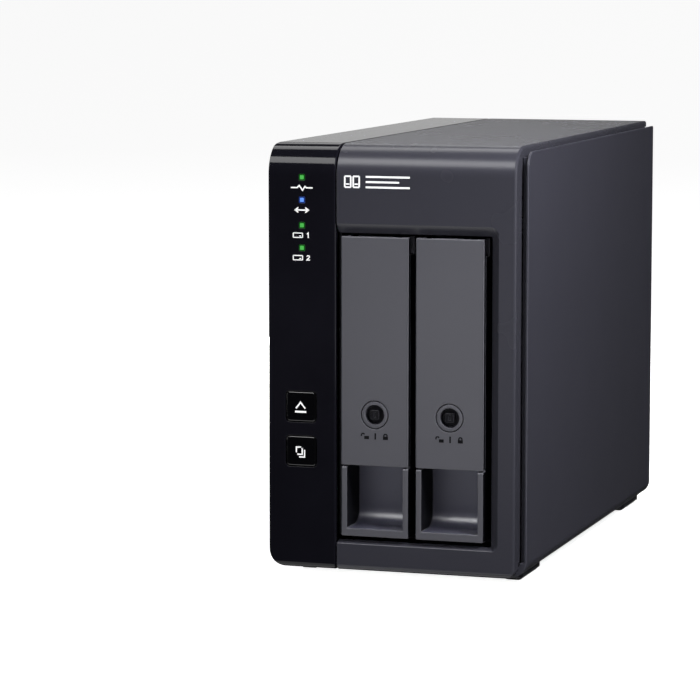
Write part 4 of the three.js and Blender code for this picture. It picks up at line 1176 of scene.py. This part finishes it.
# ---------------------------------------------------------------- lamps, buttons and marks


def light_pipe(node):
    box = cad(node)
    x, _, z = middle(box)
    half = LAMP_HALF
    stem = prism("Y", rectangle(x - half, x + half, z - half, z + half, 0.25, 3), FACE, box.y1)
    flange = prism("Y", rectangle(box.x0, box.x1, box.z0, box.z1, 0.3, 3),
                   FRONT + WALL + GAP, FRONT + WALL + GAP + 1.2)
    return soften(join(stem, flange), 0.1, 2)


def lamp_bezels(nodes):
    """The tinted frames around the light pipes, which glow with them as a painted halo of the
    lamps' light.
    """
    bezels = []
    for node in nodes:
        x, _, z = middle(cad(node))
        outer, inner = [
            rectangle(x - half, x + half, z - half, z + half, 0.3, 3)
            for half in (LAMP_BEZEL, LAMP_HALF)
        ]
        ring = prism("Y", outer, FACE + 0.1, FACE + 1.5)
        bezels.append(cut(ring, prism("Y", inner, FACE - CUT, FACE + 2)))
    return together(bezels)


def front_button(node):
    """A square cap with softened edges, its retaining flange, and its plunger."""
    box = cad(node)
    x, _, z = middle(box)
    front = box.y0 + INK
    cap = soften(prism("Y", button_outline(node), front, FRONT + WALL + 0.5), 0.55, 5)
    flange = prism("Y", button_outline(node, 1.1), FRONT + WALL + GAP, FRONT + WALL + 1.3)
    stem = cylinder("Y", (x, z), 1.6, FRONT + WALL + 1, box.y1, 24)
    return join(cap, flange, stem)


def eject_mark(node, y0, y1):
    x, _, z = middle(cad(node))
    return together([
        stroke([(x - 2.1, z - 0.7), (x - 0.2, z + 1.65), (x + 1.7, z - 0.7)], 0.55, y0, y1),
        stroke([(x - 2.5, z - 2.0), (x + 2.1, z - 2.0)], 0.75, y0, y1),
    ])


def copy_mark(node, y0, y1):
    """Two overlapping sheets: a square with a gap, and the corner of a second one behind it."""
    x, _, z = middle(cad(node))
    lines = [
        [(-1.95, -0.6), (-1.95, 1.55), (-0.05, 1.55)],
        [(0.42, 1.25), (0.42, -1.25), (-1.6, -1.25)],
        [(1.4, 0.55), (1.4, -2.3), (-0.85, -2.3)],
    ]
    return together([
        stroke([(x + u, z + w) for u, w in line], 0.52, y0, y1) for line in lines
    ])


def lamp_marks(y0, y1):
    """Pictograms under the lamps: a pulse, a two-way arrow, and two numbered drives."""
    marks = []
    for node in LAMPS:
        x, _, z = middle(cad(node))
        low = z - 4.7
        if node == "status_light":
            marks.append(stroke([
                (x - 4.4, low + 0.7), (x - 1.9, low + 0.7), (x - 1.0, low + 1.55),
                (x + 0.3, low - 0.25), (x + 1.3, low + 1.2), (x + 1.9, low + 0.7),
                (x + 4.4, low + 0.7),
            ], 0.5, y0, y1))
        elif node == "link_light":
            marks.append(stroke([(x - 2.6, low + 0.8), (x + 2.6, low + 0.8)], 0.5, y0, y1))
            for side in (-1, 1):
                tip = x + side * 2.7
                tail = x + side * 1.4
                marks.append(stroke(
                    [(tail, low + 1.75), (tip, low + 0.8), (tail, low - 0.15)], 0.5, y0, y1,
                ))
        else:
            marks.extend(drive_mark(x - 1.6, low, y0, y1))
            marks.extend(digit_mark(node == "disk_2_light", x + 2.6, low, y0, y1))
    return together(marks)


def box_mark(x0, x1, low, high, width, y0, y1):
    """The four sides of an upright rectangle."""
    corners = [(x0, low), (x1, low), (x1, high), (x0, high)]
    return [stroke([a, b], width, y0, y1) for a, b in zip(corners, corners[1:] + corners[:1])]


def drive_mark(x, low, y0, y1):
    sides = box_mark(x - 1.9, x + 1.9, low, low + 1.7, 0.36, y0, y1)
    return sides + [stroke([(x + 0.6, low + 0.55), (x + 1.3, low + 0.55)], 0.36, y0, y1)]


def digit_mark(is_two, x, low, y0, y1):
    if not is_two:
        return [stroke([(x - 0.5, low + 1.35), (x, low + 1.8), (x, low - 0.15)], 0.42, y0, y1)]
    return [stroke([
        (x - 0.6, low + 1.35), (x - 0.2, low + 1.75), (x + 0.4, low + 1.6), (x + 0.45, low + 1.1),
        (x - 0.6, low + 0.05), (x + 0.7, low + 0.05),
    ], 0.4, y0, y1)]


def front_symbol(y0, y1):
    """A generic symbol of the object itself: two upright bays beside three bars."""
    low = 152.2
    high = 156.4
    left = -20.0
    marks = []
    for i in range(2):
        x = left + 3.4 * i
        marks.extend(box_mark(x, x + 2.4, low, high, 0.62, y0, y1))
        marks.append(stroke([(x + 0.5, low + 1.2), (x + 1.9, low + 1.2)], 0.5, y0, y1))
    for i, length in enumerate((17.6, 13.4, 17.6)):
        z = low + 0.1 + i * (high - low - 0.2) / 2
        marks.append(stroke([(left + 8.4, z), (left + 8.4 + length, z)], 0.72, y0, y1))
    return together(marks)


def padlock_marks(tray, y0, y1):
    """Open padlock, a bar, and closed padlock, under the lock."""
    x = middle(cad(f"tray_{tray}_lever"))[0]
    z = LOCK_Z - 8.3
    marks = []
    for centre, shift, body in ((-3.2, -1.5, 1.9), (4.4, 0, 2.0)):
        near = x + centre - body / 2
        marks.append(stroke([(near, z - 0.6), (near + body, z - 0.6)], 1.25, y0, y1))
        arch = [
            (-0.62, -0.1), (-0.62, 0.55), (-0.35, 0.92),
            (0.35, 0.92), (0.62, 0.55), (0.62, -0.1),
        ]
        if shift:
            arch = arch[:-1]
        marks.append(stroke([(x + centre + shift + u, z + w) for u, w in arch], 0.5, y0, y1))
    marks.append(stroke([(x + 0.3, z - 1.25), (x + 0.3, z + 1.25)], 0.62, y0, y1))
    return together(marks)


# ---------------------------------------------------------------- rear pieces

SCREWS = [
    "fan_screw_1", "fan_screw_2", "fan_screw_3", "fan_screw_4",
    "case_screw_top", "case_screw_bottom",
]


def rear_screw(node):
    """A pan-head screw with a cross recess."""
    box = cad(node)
    x, _, z = middle(box)
    radius = (box.x1 - box.x0) / 2
    seat = REAR_SHEET.y1 + INK
    screw = turned("Y", (x, z), [
        (0, box.y0), (1.1, box.y0), (1.5, box.y0 + 0.5), (1.5, seat), (radius, seat),
        (radius, seat + 0.35), (radius * 0.9, seat + 0.75), (radius * 0.62, box.y1 - 0.02),
        (0, box.y1),
    ], 40)
    cross = [
        lofted("Y", [
            (rectangle(x - 0.2 * u, x + 0.2 * u, z - 0.6 * w, z + 0.6 * w), box.y1 - 0.8),
            (rectangle(x - 0.38 * u, x + 0.38 * u, z - 1.8 * w, z + 1.8 * w), box.y1 + 0.3),
        ])
        for u, w in ((1, 1), (4.2, 0.22))
    ]
    return cut(screw, *cross)


def fan_frame():
    """Fan housing: two flanges with a waist between them, struts and motor mount."""
    box = cad("fan_frame")
    x, _, z = middle(box)
    flange = 4
    half = (box.x1 - box.x0) / 2
    square = rectangle(box.x0, box.x1, box.z0, box.z1, 4, 6)
    body = prism("Y", square, box.y0, box.y0 + flange)
    wall = FAN["duct"] + 1.6
    corners = [
        (x + sx * FAN["screw"], z + sz * FAN["screw"]) for sx in (-1, 1) for sz in (-1, 1)
    ]
    join(
        body,
        prism("Y", square, box.y1 - flange, box.y1),
        cylinder("Y", (x, z), wall, box.y0 + 0.5, box.y1 - 0.5, 96),
        *[cylinder("Y", c, FAN["boss"], box.y0 + 1, box.y1 - 1, 32) for c in corners],
    )
    tools = [turned("Y", (x, z), [
        (0, box.y0 - CUT), (FAN["duct"] + 1.2, box.y0 - CUT), (FAN["duct"] + 1.2, box.y0),
        (FAN["duct"], box.y0 + 2.5), (FAN["duct"], box.y1 - 2), (FAN["duct"] + 1, box.y1),
        (FAN["duct"] + 1, box.y1 + CUT), (0, box.y1 + CUT),
    ], 96)]
    for corner in corners:
        tools.append(cylinder("Y", corner, FAN["hole"], box.y0 - CUT, box.y1 + CUT, 24))
    cut(body, *tools)
    strut = box.y1 - 3
    reach = min(half, FAN["duct"] + 0.8)
    arms = []
    for turn in (45, 135, 225, 315):
        way = Matrix.Rotation(math.radians(turn), 2)
        arm = [way @ Vector(p) for p in ((10, -1.3), (reach, -1.3), (reach, 1.3), (10, 1.3))]
        arms.append(prism("Y", [corner + Vector((x, z)) for corner in arm], strut, box.y1))
    join(body, turned("Y", (x, z), [
        (0, strut), (FAN["hub"], strut), (FAN["hub"], box.y1 - 0.5), (FAN["hub"] - 0.5, box.y1),
        (0, box.y1),
    ], 64), *arms)
    return soften(body, 0.3, 2)


def fan_blade(x, z, y0, y1, turn):
    """One swept blade, lofted through thin curved sections from hub to tip."""
    stations = 7
    across = 6
    rings = []
    middle_y = (y0 + y1) / 2
    for i in range(stations):
        part = i / (stations - 1)
        radius = FAN["hub"] - 0.6 + part * (FAN["tip"] - FAN["hub"] + 0.6)
        pitch = math.radians(50 - 20 * part)
        chord = (y1 - y0 - 1.2) / math.cos(pitch) * (0.78 + 0.06 * part)
        thickness = 1.5 - 0.5 * part
        sweep = turn + 0.34 * part ** 1.4
        ring = []
        for side in (1, -1):
            for k in range(across + 1):
                s = (k / across - 0.5) * side
                camber = (0.25 - s * s) * 3.2
                edge = thickness / 2 * math.sqrt(max(0.04, 1 - (2 * s) ** 2)) * side
                along = s * chord
                y = middle_y + along * math.cos(pitch) + (camber + edge) * math.sin(pitch)
                arc = along * math.sin(pitch) - (camber + edge) * math.cos(pitch)
                angle = sweep + arc / radius
                ring.append((x + radius * math.cos(angle), y, z + radius * math.sin(angle)))
        rings.append(ring)
    return skinned(rings)


def fan_rotor():
    box = cad("fan_rotor")
    x, _, z = middle(cad("fan_frame"))
    hub = FAN["hub"]
    rotor = turned("Y", (x, z), [
        (0, box.y0 + 0.2), (hub - 1.6, box.y0 + 0.2), (hub - 0.5, box.y0 + 0.7),
        (hub, box.y0 + 1.8), (hub, box.y1), (hub - 1.5, box.y1), (hub - 1.5, box.y1 - 1.2),
        (0, box.y1 - 1.2),
    ], 72)
    turns = [2 * math.pi * i / FAN["blades"] for i in range(FAN["blades"])]
    return join(rotor, *[fan_blade(x, z, box.y0, box.y1, turn) for turn in turns])


def usb_socket():
    box = cad("usb_socket")
    z = middle(box)[2]
    shell = prism("Y", usb_outline(z, 0), box.y0, box.y1)
    cut(shell, prism("Y", usb_outline(z, -0.35), box.y0 + 2, box.y1 + CUT))
    legs = block(box.x0, PORT_X - 1, box.y0, box.y0 + 3, z - 3, z + 3)
    return soften(join(shell, legs), 0.06, 2)


def usb_tongue():
    box = cad("usb_socket")
    z = middle(box)[2]
    tongue = block(PORT_X - 0.35, PORT_X + 0.35, box.y0 + 1, box.y1 - 0.8, z - 3.3, z + 3.3)
    return soften(tongue, 0.12, 2)


def dc_jack():
    box = cad("dc_jack")
    z = middle(box)[2]
    body = block(box.x0, box.x1, box.y0, REAR_SHEET.y0 - GAP, box.z0, box.z1)
    join(body, cylinder("Y", (PORT_X, z), 4.4, box.y0 + 7, box.y1, 56))
    cut(body, cylinder("Y", (PORT_X, z), 3.1, box.y0 + 4, box.y1 + CUT, 48))
    return soften(body, 0.2, 2)


def dc_pin():
    box = cad("dc_jack")
    z = middle(box)[2]
    tip = REAR_SHEET.y0
    return turned("Y", (PORT_X, z), [
        (0, box.y0 + 3.5), (1, box.y0 + 3.5), (1, tip - 0.5), (0.75, tip - 0.1), (0, tip),
    ], 24)


def rear_button(node, cap, flange):
    box = cad(node)
    z = middle(box)[2]
    back = REAR_SHEET.y0 - GAP
    return turned("Y", (PORT_X, z), [
        (0, box.y0), (1.1, box.y0), (1.1, 104.2), (flange, 104.6), (flange, back), (cap, back),
        (cap, box.y1 - 0.5), (cap - 0.15, box.y1 - 0.15), (cap - 0.6, box.y1 - 0.02),
        (cap * 0.4, box.y1 - 0.15), (0, box.y1 - 0.2),
    ], 48)


def power_mark(y0, y1):
    """The usual open ring and bar, printed beside the rear power button."""
    z = middle(cad("power_button"))[2] + 8.5
    turns = [math.radians(130 + 280 * i / 20) for i in range(21)]
    ring = [(PORT_X + 1.7 * math.cos(t), z + 1.7 * math.sin(t)) for t in turns]
    return together([
        stroke(ring, 0.4, y0, y1),
        stroke([(PORT_X, z + 0.5), (PORT_X, z + 2.2)], 0.4, y0, y1),
    ])


def mode_marks(y0, y1):
    """Position numbers 1 to 3 beside the mode switches."""
    marks = []
    for i in range(3):
        slider = cad(f"mode_slider_{i + 1}")
        z = (slider.z0 + slider.z1) / 2 - 0.9
        x = PORT_X - 6.4
        if i < 2:
            marks.extend(mirrored_digit(i == 1, x, z, y0, y1))
        else:
            points = [(0.5, 1.7), (-0.5, 1.7), (0, 1.0), (-0.5, 0.55), (-0.3, 0.05), (0.55, 0.1)]
            marks.append(stroke([(x + u, z + w) for u, w in points], 0.36, y0, y1))
    return together(marks)


def mirrored_digit(is_two, x, low, y0, y1):
    """A digit that reads rightly from behind the case."""
    marks = digit_mark(is_two, 0, low, y0, y1)
    for mark in marks:
        mark.data.transform(Matrix.Translation((x, 0, 0)) @ Matrix.Scale(-1, 4, (1, 0, 0)))
        mark.data.flip_normals()
    return marks


# ---------------------------------------------------------------- assembly

stand_in(left_cover(), "left_cover", GLOSS_BLACK)
stand_in(main_shell(), "main_shell", GRAPHITE)
stand_in(right_cover(), "right_cover", SIDE_GRAPHITE)
stand_in(rear_panel(), "rear_panel", BLACK_STEEL)
for corner in ("front_left", "front_right", "rear_left", "rear_right"):
    stand_in(foot(f"foot_{corner}"), f"foot_{corner}", RUBBER)

for node, material in LAMPS.items():
    stand_in(light_pipe(node), node, material)
for node, mark in (("eject_button", eject_mark), ("copy_button", copy_mark)):
    stand_in(front_button(node), node, BUTTON_BLACK)
    cap_front = cad(node).y0
    detail(mark(node, cap_front, cap_front + 2 * INK), f"{node}_mark", node, WHITE_INK)
green_lamps = [node for node, material in LAMPS.items() if material == GREEN_LAMP]
# The frames around the lamps glow as a painted halo.
detail(lamp_bezels(green_lamps), "green_painted_halo_bezels", "left_cover", GREEN_PAINTED_HALO)
detail(lamp_bezels(["link_light"]), "blue_painted_halo_bezel", "left_cover", BLUE_PAINTED_HALO)
detail(lamp_marks(FRONT, FRONT + 2 * INK), "lamp_marks", "left_cover", WHITE_INK)
detail(front_symbol(FRONT, FRONT + 2 * INK), "front_symbol", "main_shell", WHITE_INK)

for tray in TRAYS:
    moulding = stand_in(tray_frame(tray), f"tray_{tray}_frame", TRAY_GREY)
    lever = stand_in(tray_lever(tray), f"tray_{tray}_lever", TRAY_GREY)
    # The lever's and moulding's sideways faces get a near-black painted shade.
    repaint(lever, TRAY_PAINTED_SHADE, painted_shade_faces(tray))
    # The finger recess gets a darker, bluer grey as painted shade.
    repaint(moulding, RECESS_PAINTED_SHADE_GREY, in_recess(tray))
    repaint(moulding, TRAY_PAINTED_SHADE, painted_shade_faces(tray))
    stand_in(tray_lock(tray), f"tray_{tray}_lock", TRAY_GREY)
    detail(keyway(tray), f"tray_{tray}_keyway", f"tray_{tray}_lock", KEYWAY_BLACK, "black_plastic")
    stand_in(hinge_pin(tray), f"tray_{tray}_hinge_pin", PLATED)
    lever_front = cad(f"tray_{tray}_lever").y0
    detail(
        padlock_marks(tray, lever_front - INK, lever_front + INK), f"tray_{tray}_padlock_marks",
        f"tray_{tray}_lever", BLACK_INK,
    )
    drive_pieces(tray)
    keep_node(f"tray_{tray}_top_clip", BLACK_PLASTIC)
    keep_node(f"tray_{tray}_bottom_clip", BLACK_PLASTIC)
    keep_node(f"sata_socket_{tray}", BLACK_PLASTIC)

for node in SCREWS:
    stand_in(rear_screw(node), node, PLATED)
stand_in(fan_frame(), "fan_frame", BLACK_PLASTIC)
stand_in(fan_rotor(), "fan_rotor", BLACK_PLASTIC)
stand_in(usb_socket(), "usb_socket", PLATED)
detail(usb_tongue(), "usb_tongue", "usb_socket", BLACK_PLASTIC, "black_plastic")
stand_in(dc_jack(), "dc_jack", BLACK_PLASTIC)
detail(dc_pin(), "dc_pin", "dc_jack", PLATED, "plated")
stand_in(rear_button("power_button", 4.2, 5.1), "power_button", BLACK_PLASTIC)
stand_in(rear_button("set_button", 1.8, 3.0), "set_button", BLACK_PLASTIC)
detail(power_mark(REAR_SHEET.y1 - INK, REAR_SHEET.y1 + INK), "power_mark", "rear_panel", WHITE_INK)
detail(mode_marks(REAR_SHEET.y1 - INK, REAR_SHEET.y1 + INK), "mode_marks", "rear_panel", WHITE_INK)
keep_node("mode_switch_block", BLACK_PLASTIC)
for i in (1, 2, 3):
    keep_node(f"mode_slider_{i}", PLATED, 0.12)

# The cage's near-black is black paint, darkened further as painted shade for the gaps around the
# trays.
for node in ("cage_left_plate", "cage_divider", "cage_right_plate", "cage_floor", "cage_roof"):
    keep_node(node, CAGE_BLACK_AND_SHADE, 0.15)
for node in ("backplane_board", "main_board", "front_board"):
    keep_node(node, BOARD_GREEN, 0.12)
keep_node("board_link", BLACK_PLASTIC)
keep_node("heatsink", CAST_ALUMINIUM)
keep_node("power_switch", PLATED)
keep_node("set_switch", PLATED)
keep_node("front_cable", CABLE, 0.1)
keep_node("fan_cable", CABLE, 0.1)

# ---------------------------------------------------------------- floor, light and camera


def studio_floor():
    """A pale floor that curves up into a backdrop far behind the object."""
    reach = 4
    bend_start = 2.6
    bend = 1.2
    height = 3.5
    steps = 12
    rows = [(-reach, 0)]
    for k in range(steps + 1):
        turn = math.pi / 2 * k / steps
        rows.append((bend_start + bend * math.sin(turn), bend - bend * math.cos(turn)))
    rows.append((bend_start + bend, height))
    shape = bmesh.new()
    edges = [[shape.verts.new((side * reach, y, z)) for side in (-1, 1)] for y, z in rows]
    for a, b in zip(edges, edges[1:]):
        shape.faces.new((a[0], a[1], b[1], b[0]))
    floor = finished(shape, "studio_floor")
    floor.data.shade_smooth()
    material, tree, shader, place = node_material("studio_floor")
    cloud = noise(tree, place, 3)
    clouded(tree, shader.inputs["Base Color"], cloud, (0.9, 0.9, 0.9), (0.92, 0.92, 0.92))
    shader.inputs["Roughness"].default_value = 1
    shader.inputs["Specular IOR Level"].default_value = 0
    shader.inputs["Emission Color"].default_value = (1, 1, 1, 1)
    shader.inputs["Emission Strength"].default_value = 0.88
    floor.data.materials[0] = material
    floor.visible_diffuse = False
    floor.visible_glossy = False
    floor.visible_shadow = False


def over_the_front(elevation):
    """A direction in the plane that the case's front rounding mirrors to the camera.

    The elevation is in degrees, from the horizon in front, over the top, to the horizon behind.
    """
    turn = math.radians(elevation)
    return Vector((-0.3, -math.cos(turn), math.sin(turn))).normalized()


def softbox(name, place, size, radiance):
    """A rectangular soft light that faces the object's middle and shows in no reflection."""
    width, height = size
    light = bpy.data.lights.new(name, "AREA")
    light.shape = "RECTANGLE"
    light.size = width
    light.size_y = height
    light.energy = radiance * math.pi * width * height
    fitting = bpy.data.objects.new(name, light)
    fitting.location = place
    fitting.rotation_euler = (AIM - place).to_track_quat("-Z", "Y").to_euler()
    fitting.visible_camera = False
    fitting.visible_glossy = False
    bpy.context.scene.collection.objects.link(fitting)


def reflector(name, place, size, radiance):
    """A glowing card that faces the object's middle and shows only in reflections."""
    half_x, half_y = size[0] / 2, size[1] / 2
    shape = bmesh.new()
    shape.faces.new([
        shape.verts.new((x, y, 0))
        for x, y in ((-half_x, -half_y), (half_x, -half_y), (half_x, half_y), (-half_x, half_y))
    ])
    card = finished(shape, name)
    card.location = place
    card.rotation_euler = (AIM - place).to_track_quat("Z", "Y").to_euler()
    material, _, shader, _ = node_material(name)
    shader.inputs["Base Color"].default_value = (0, 0, 0, 1)
    shader.inputs["Emission Color"].default_value = (1, 1, 1, 1)
    shader.inputs["Emission Strength"].default_value = radiance
    material.cycles.emission_sampling = "NONE"
    card.data.materials[0] = material
    for way in ("camera", "diffuse", "transmission", "volume_scatter", "shadow"):
        setattr(card, f"visible_{way}", False)


def studio_world():
    """White to look at. As a light it is dim, but for a bright wall behind and to the left."""
    world = bpy.data.worlds.new("studio")
    world.use_nodes = True
    tree = world.node_tree
    sky = tree.nodes["Background"]
    sky.inputs["Color"].default_value = (1, 1, 1, 1)
    place = tree.nodes.new("ShaderNodeTexCoord")
    facing = tree.nodes.new("ShaderNodeVectorMath")
    facing.operation = "DOT_PRODUCT"
    facing.inputs[1].default_value = (-0.707, 0.707, 0)
    tree.links.new(place.outputs["Generated"], facing.inputs[0])
    wall = ranged(tree, facing.outputs["Value"], AMBIENT, WALL_LIGHT, 0.7, 0.95)
    seen = tree.nodes.new("ShaderNodeLightPath")
    mix = tree.nodes.new("ShaderNodeMix")
    mix.inputs["B"].default_value = 1
    tree.links.new(seen.outputs["Is Camera Ray"], mix.inputs["Factor"])
    tree.links.new(wall, mix.inputs["A"])
    tree.links.new(mix.outputs["Result"], sky.inputs["Strength"])
    bpy.context.scene.world = world


AIM = Vector((0, 0, 0.085))
AMBIENT = 0.04
WALL_LIGHT = 0.4
ARCH = 1.2  # how far the cards over the front stand from the object's middle (m)

SOFTBOXES = {  # place (m), size (m), radiance
    "key": ((0.28, -0.22, 0.36), (0.14, 0.14), 68),
    "front_fill": ((-0.02, -0.34, 0.06), (0.3, 0.06), 8.2),
    "top": ((0, 0.1, 1.6), (1.6, 1.6), 1.2),
    "rear_fill": ((-0.4, 0.6, 0.12), (0.3, 0.3), 16),
}
ARCH_CARDS = {  # elevation over the front (degrees), size (m), radiance
    "front_strip": (50, (1.2, 0.4), 14),
    "over_strip": (109, (0.8, 0.3), 6),
    "rear_strip": (146, (0.3, 0.36), 1.5),
    "horizon": (173, (0.3, 0.16), 0.52),
}
CARDS = {  # place (m), size (m), radiance
    "left_strip": ((-1.1, -0.5, 0.3), (0.3, 0.8), 7),
    "right_strip": ((1.2, -0.3, 0.3), (0.3, 0.8), 7),
    "floor_glow": ((-0.3, -0.5, -0.8), (1.6, 1.2), 2.4),
}


def studio_light():
    studio_world()
    bpy.context.scene.view_settings.view_transform = "Standard"
    for name, (place, size, radiance) in SOFTBOXES.items():
        softbox(name, Vector(place), size, radiance)
    for name, (elevation, size, radiance) in ARCH_CARDS.items():
        reflector(name, AIM + ARCH * over_the_front(elevation), size, radiance)
    for name, (place, size, radiance) in CARDS.items():
        reflector(name, Vector(place), size, radiance)


def camera():
    """A long lens at the height of the case's top, a little to its right."""
    data = bpy.data.cameras.new("camera")
    data.sensor_width = 36
    data.lens = 167.9
    data.clip_end = 50
    view = bpy.data.objects.new("camera", data)
    view.location = (0.367445, -1.296151, 0.237608)
    way = Vector((-0.3067, 0.9445, -0.1179))
    view.rotation_euler = way.to_track_quat("-Z", "Y").to_euler()
    bpy.context.scene.collection.objects.link(view)
    bpy.context.scene.camera = view


studio_floor()
studio_light()
camera()
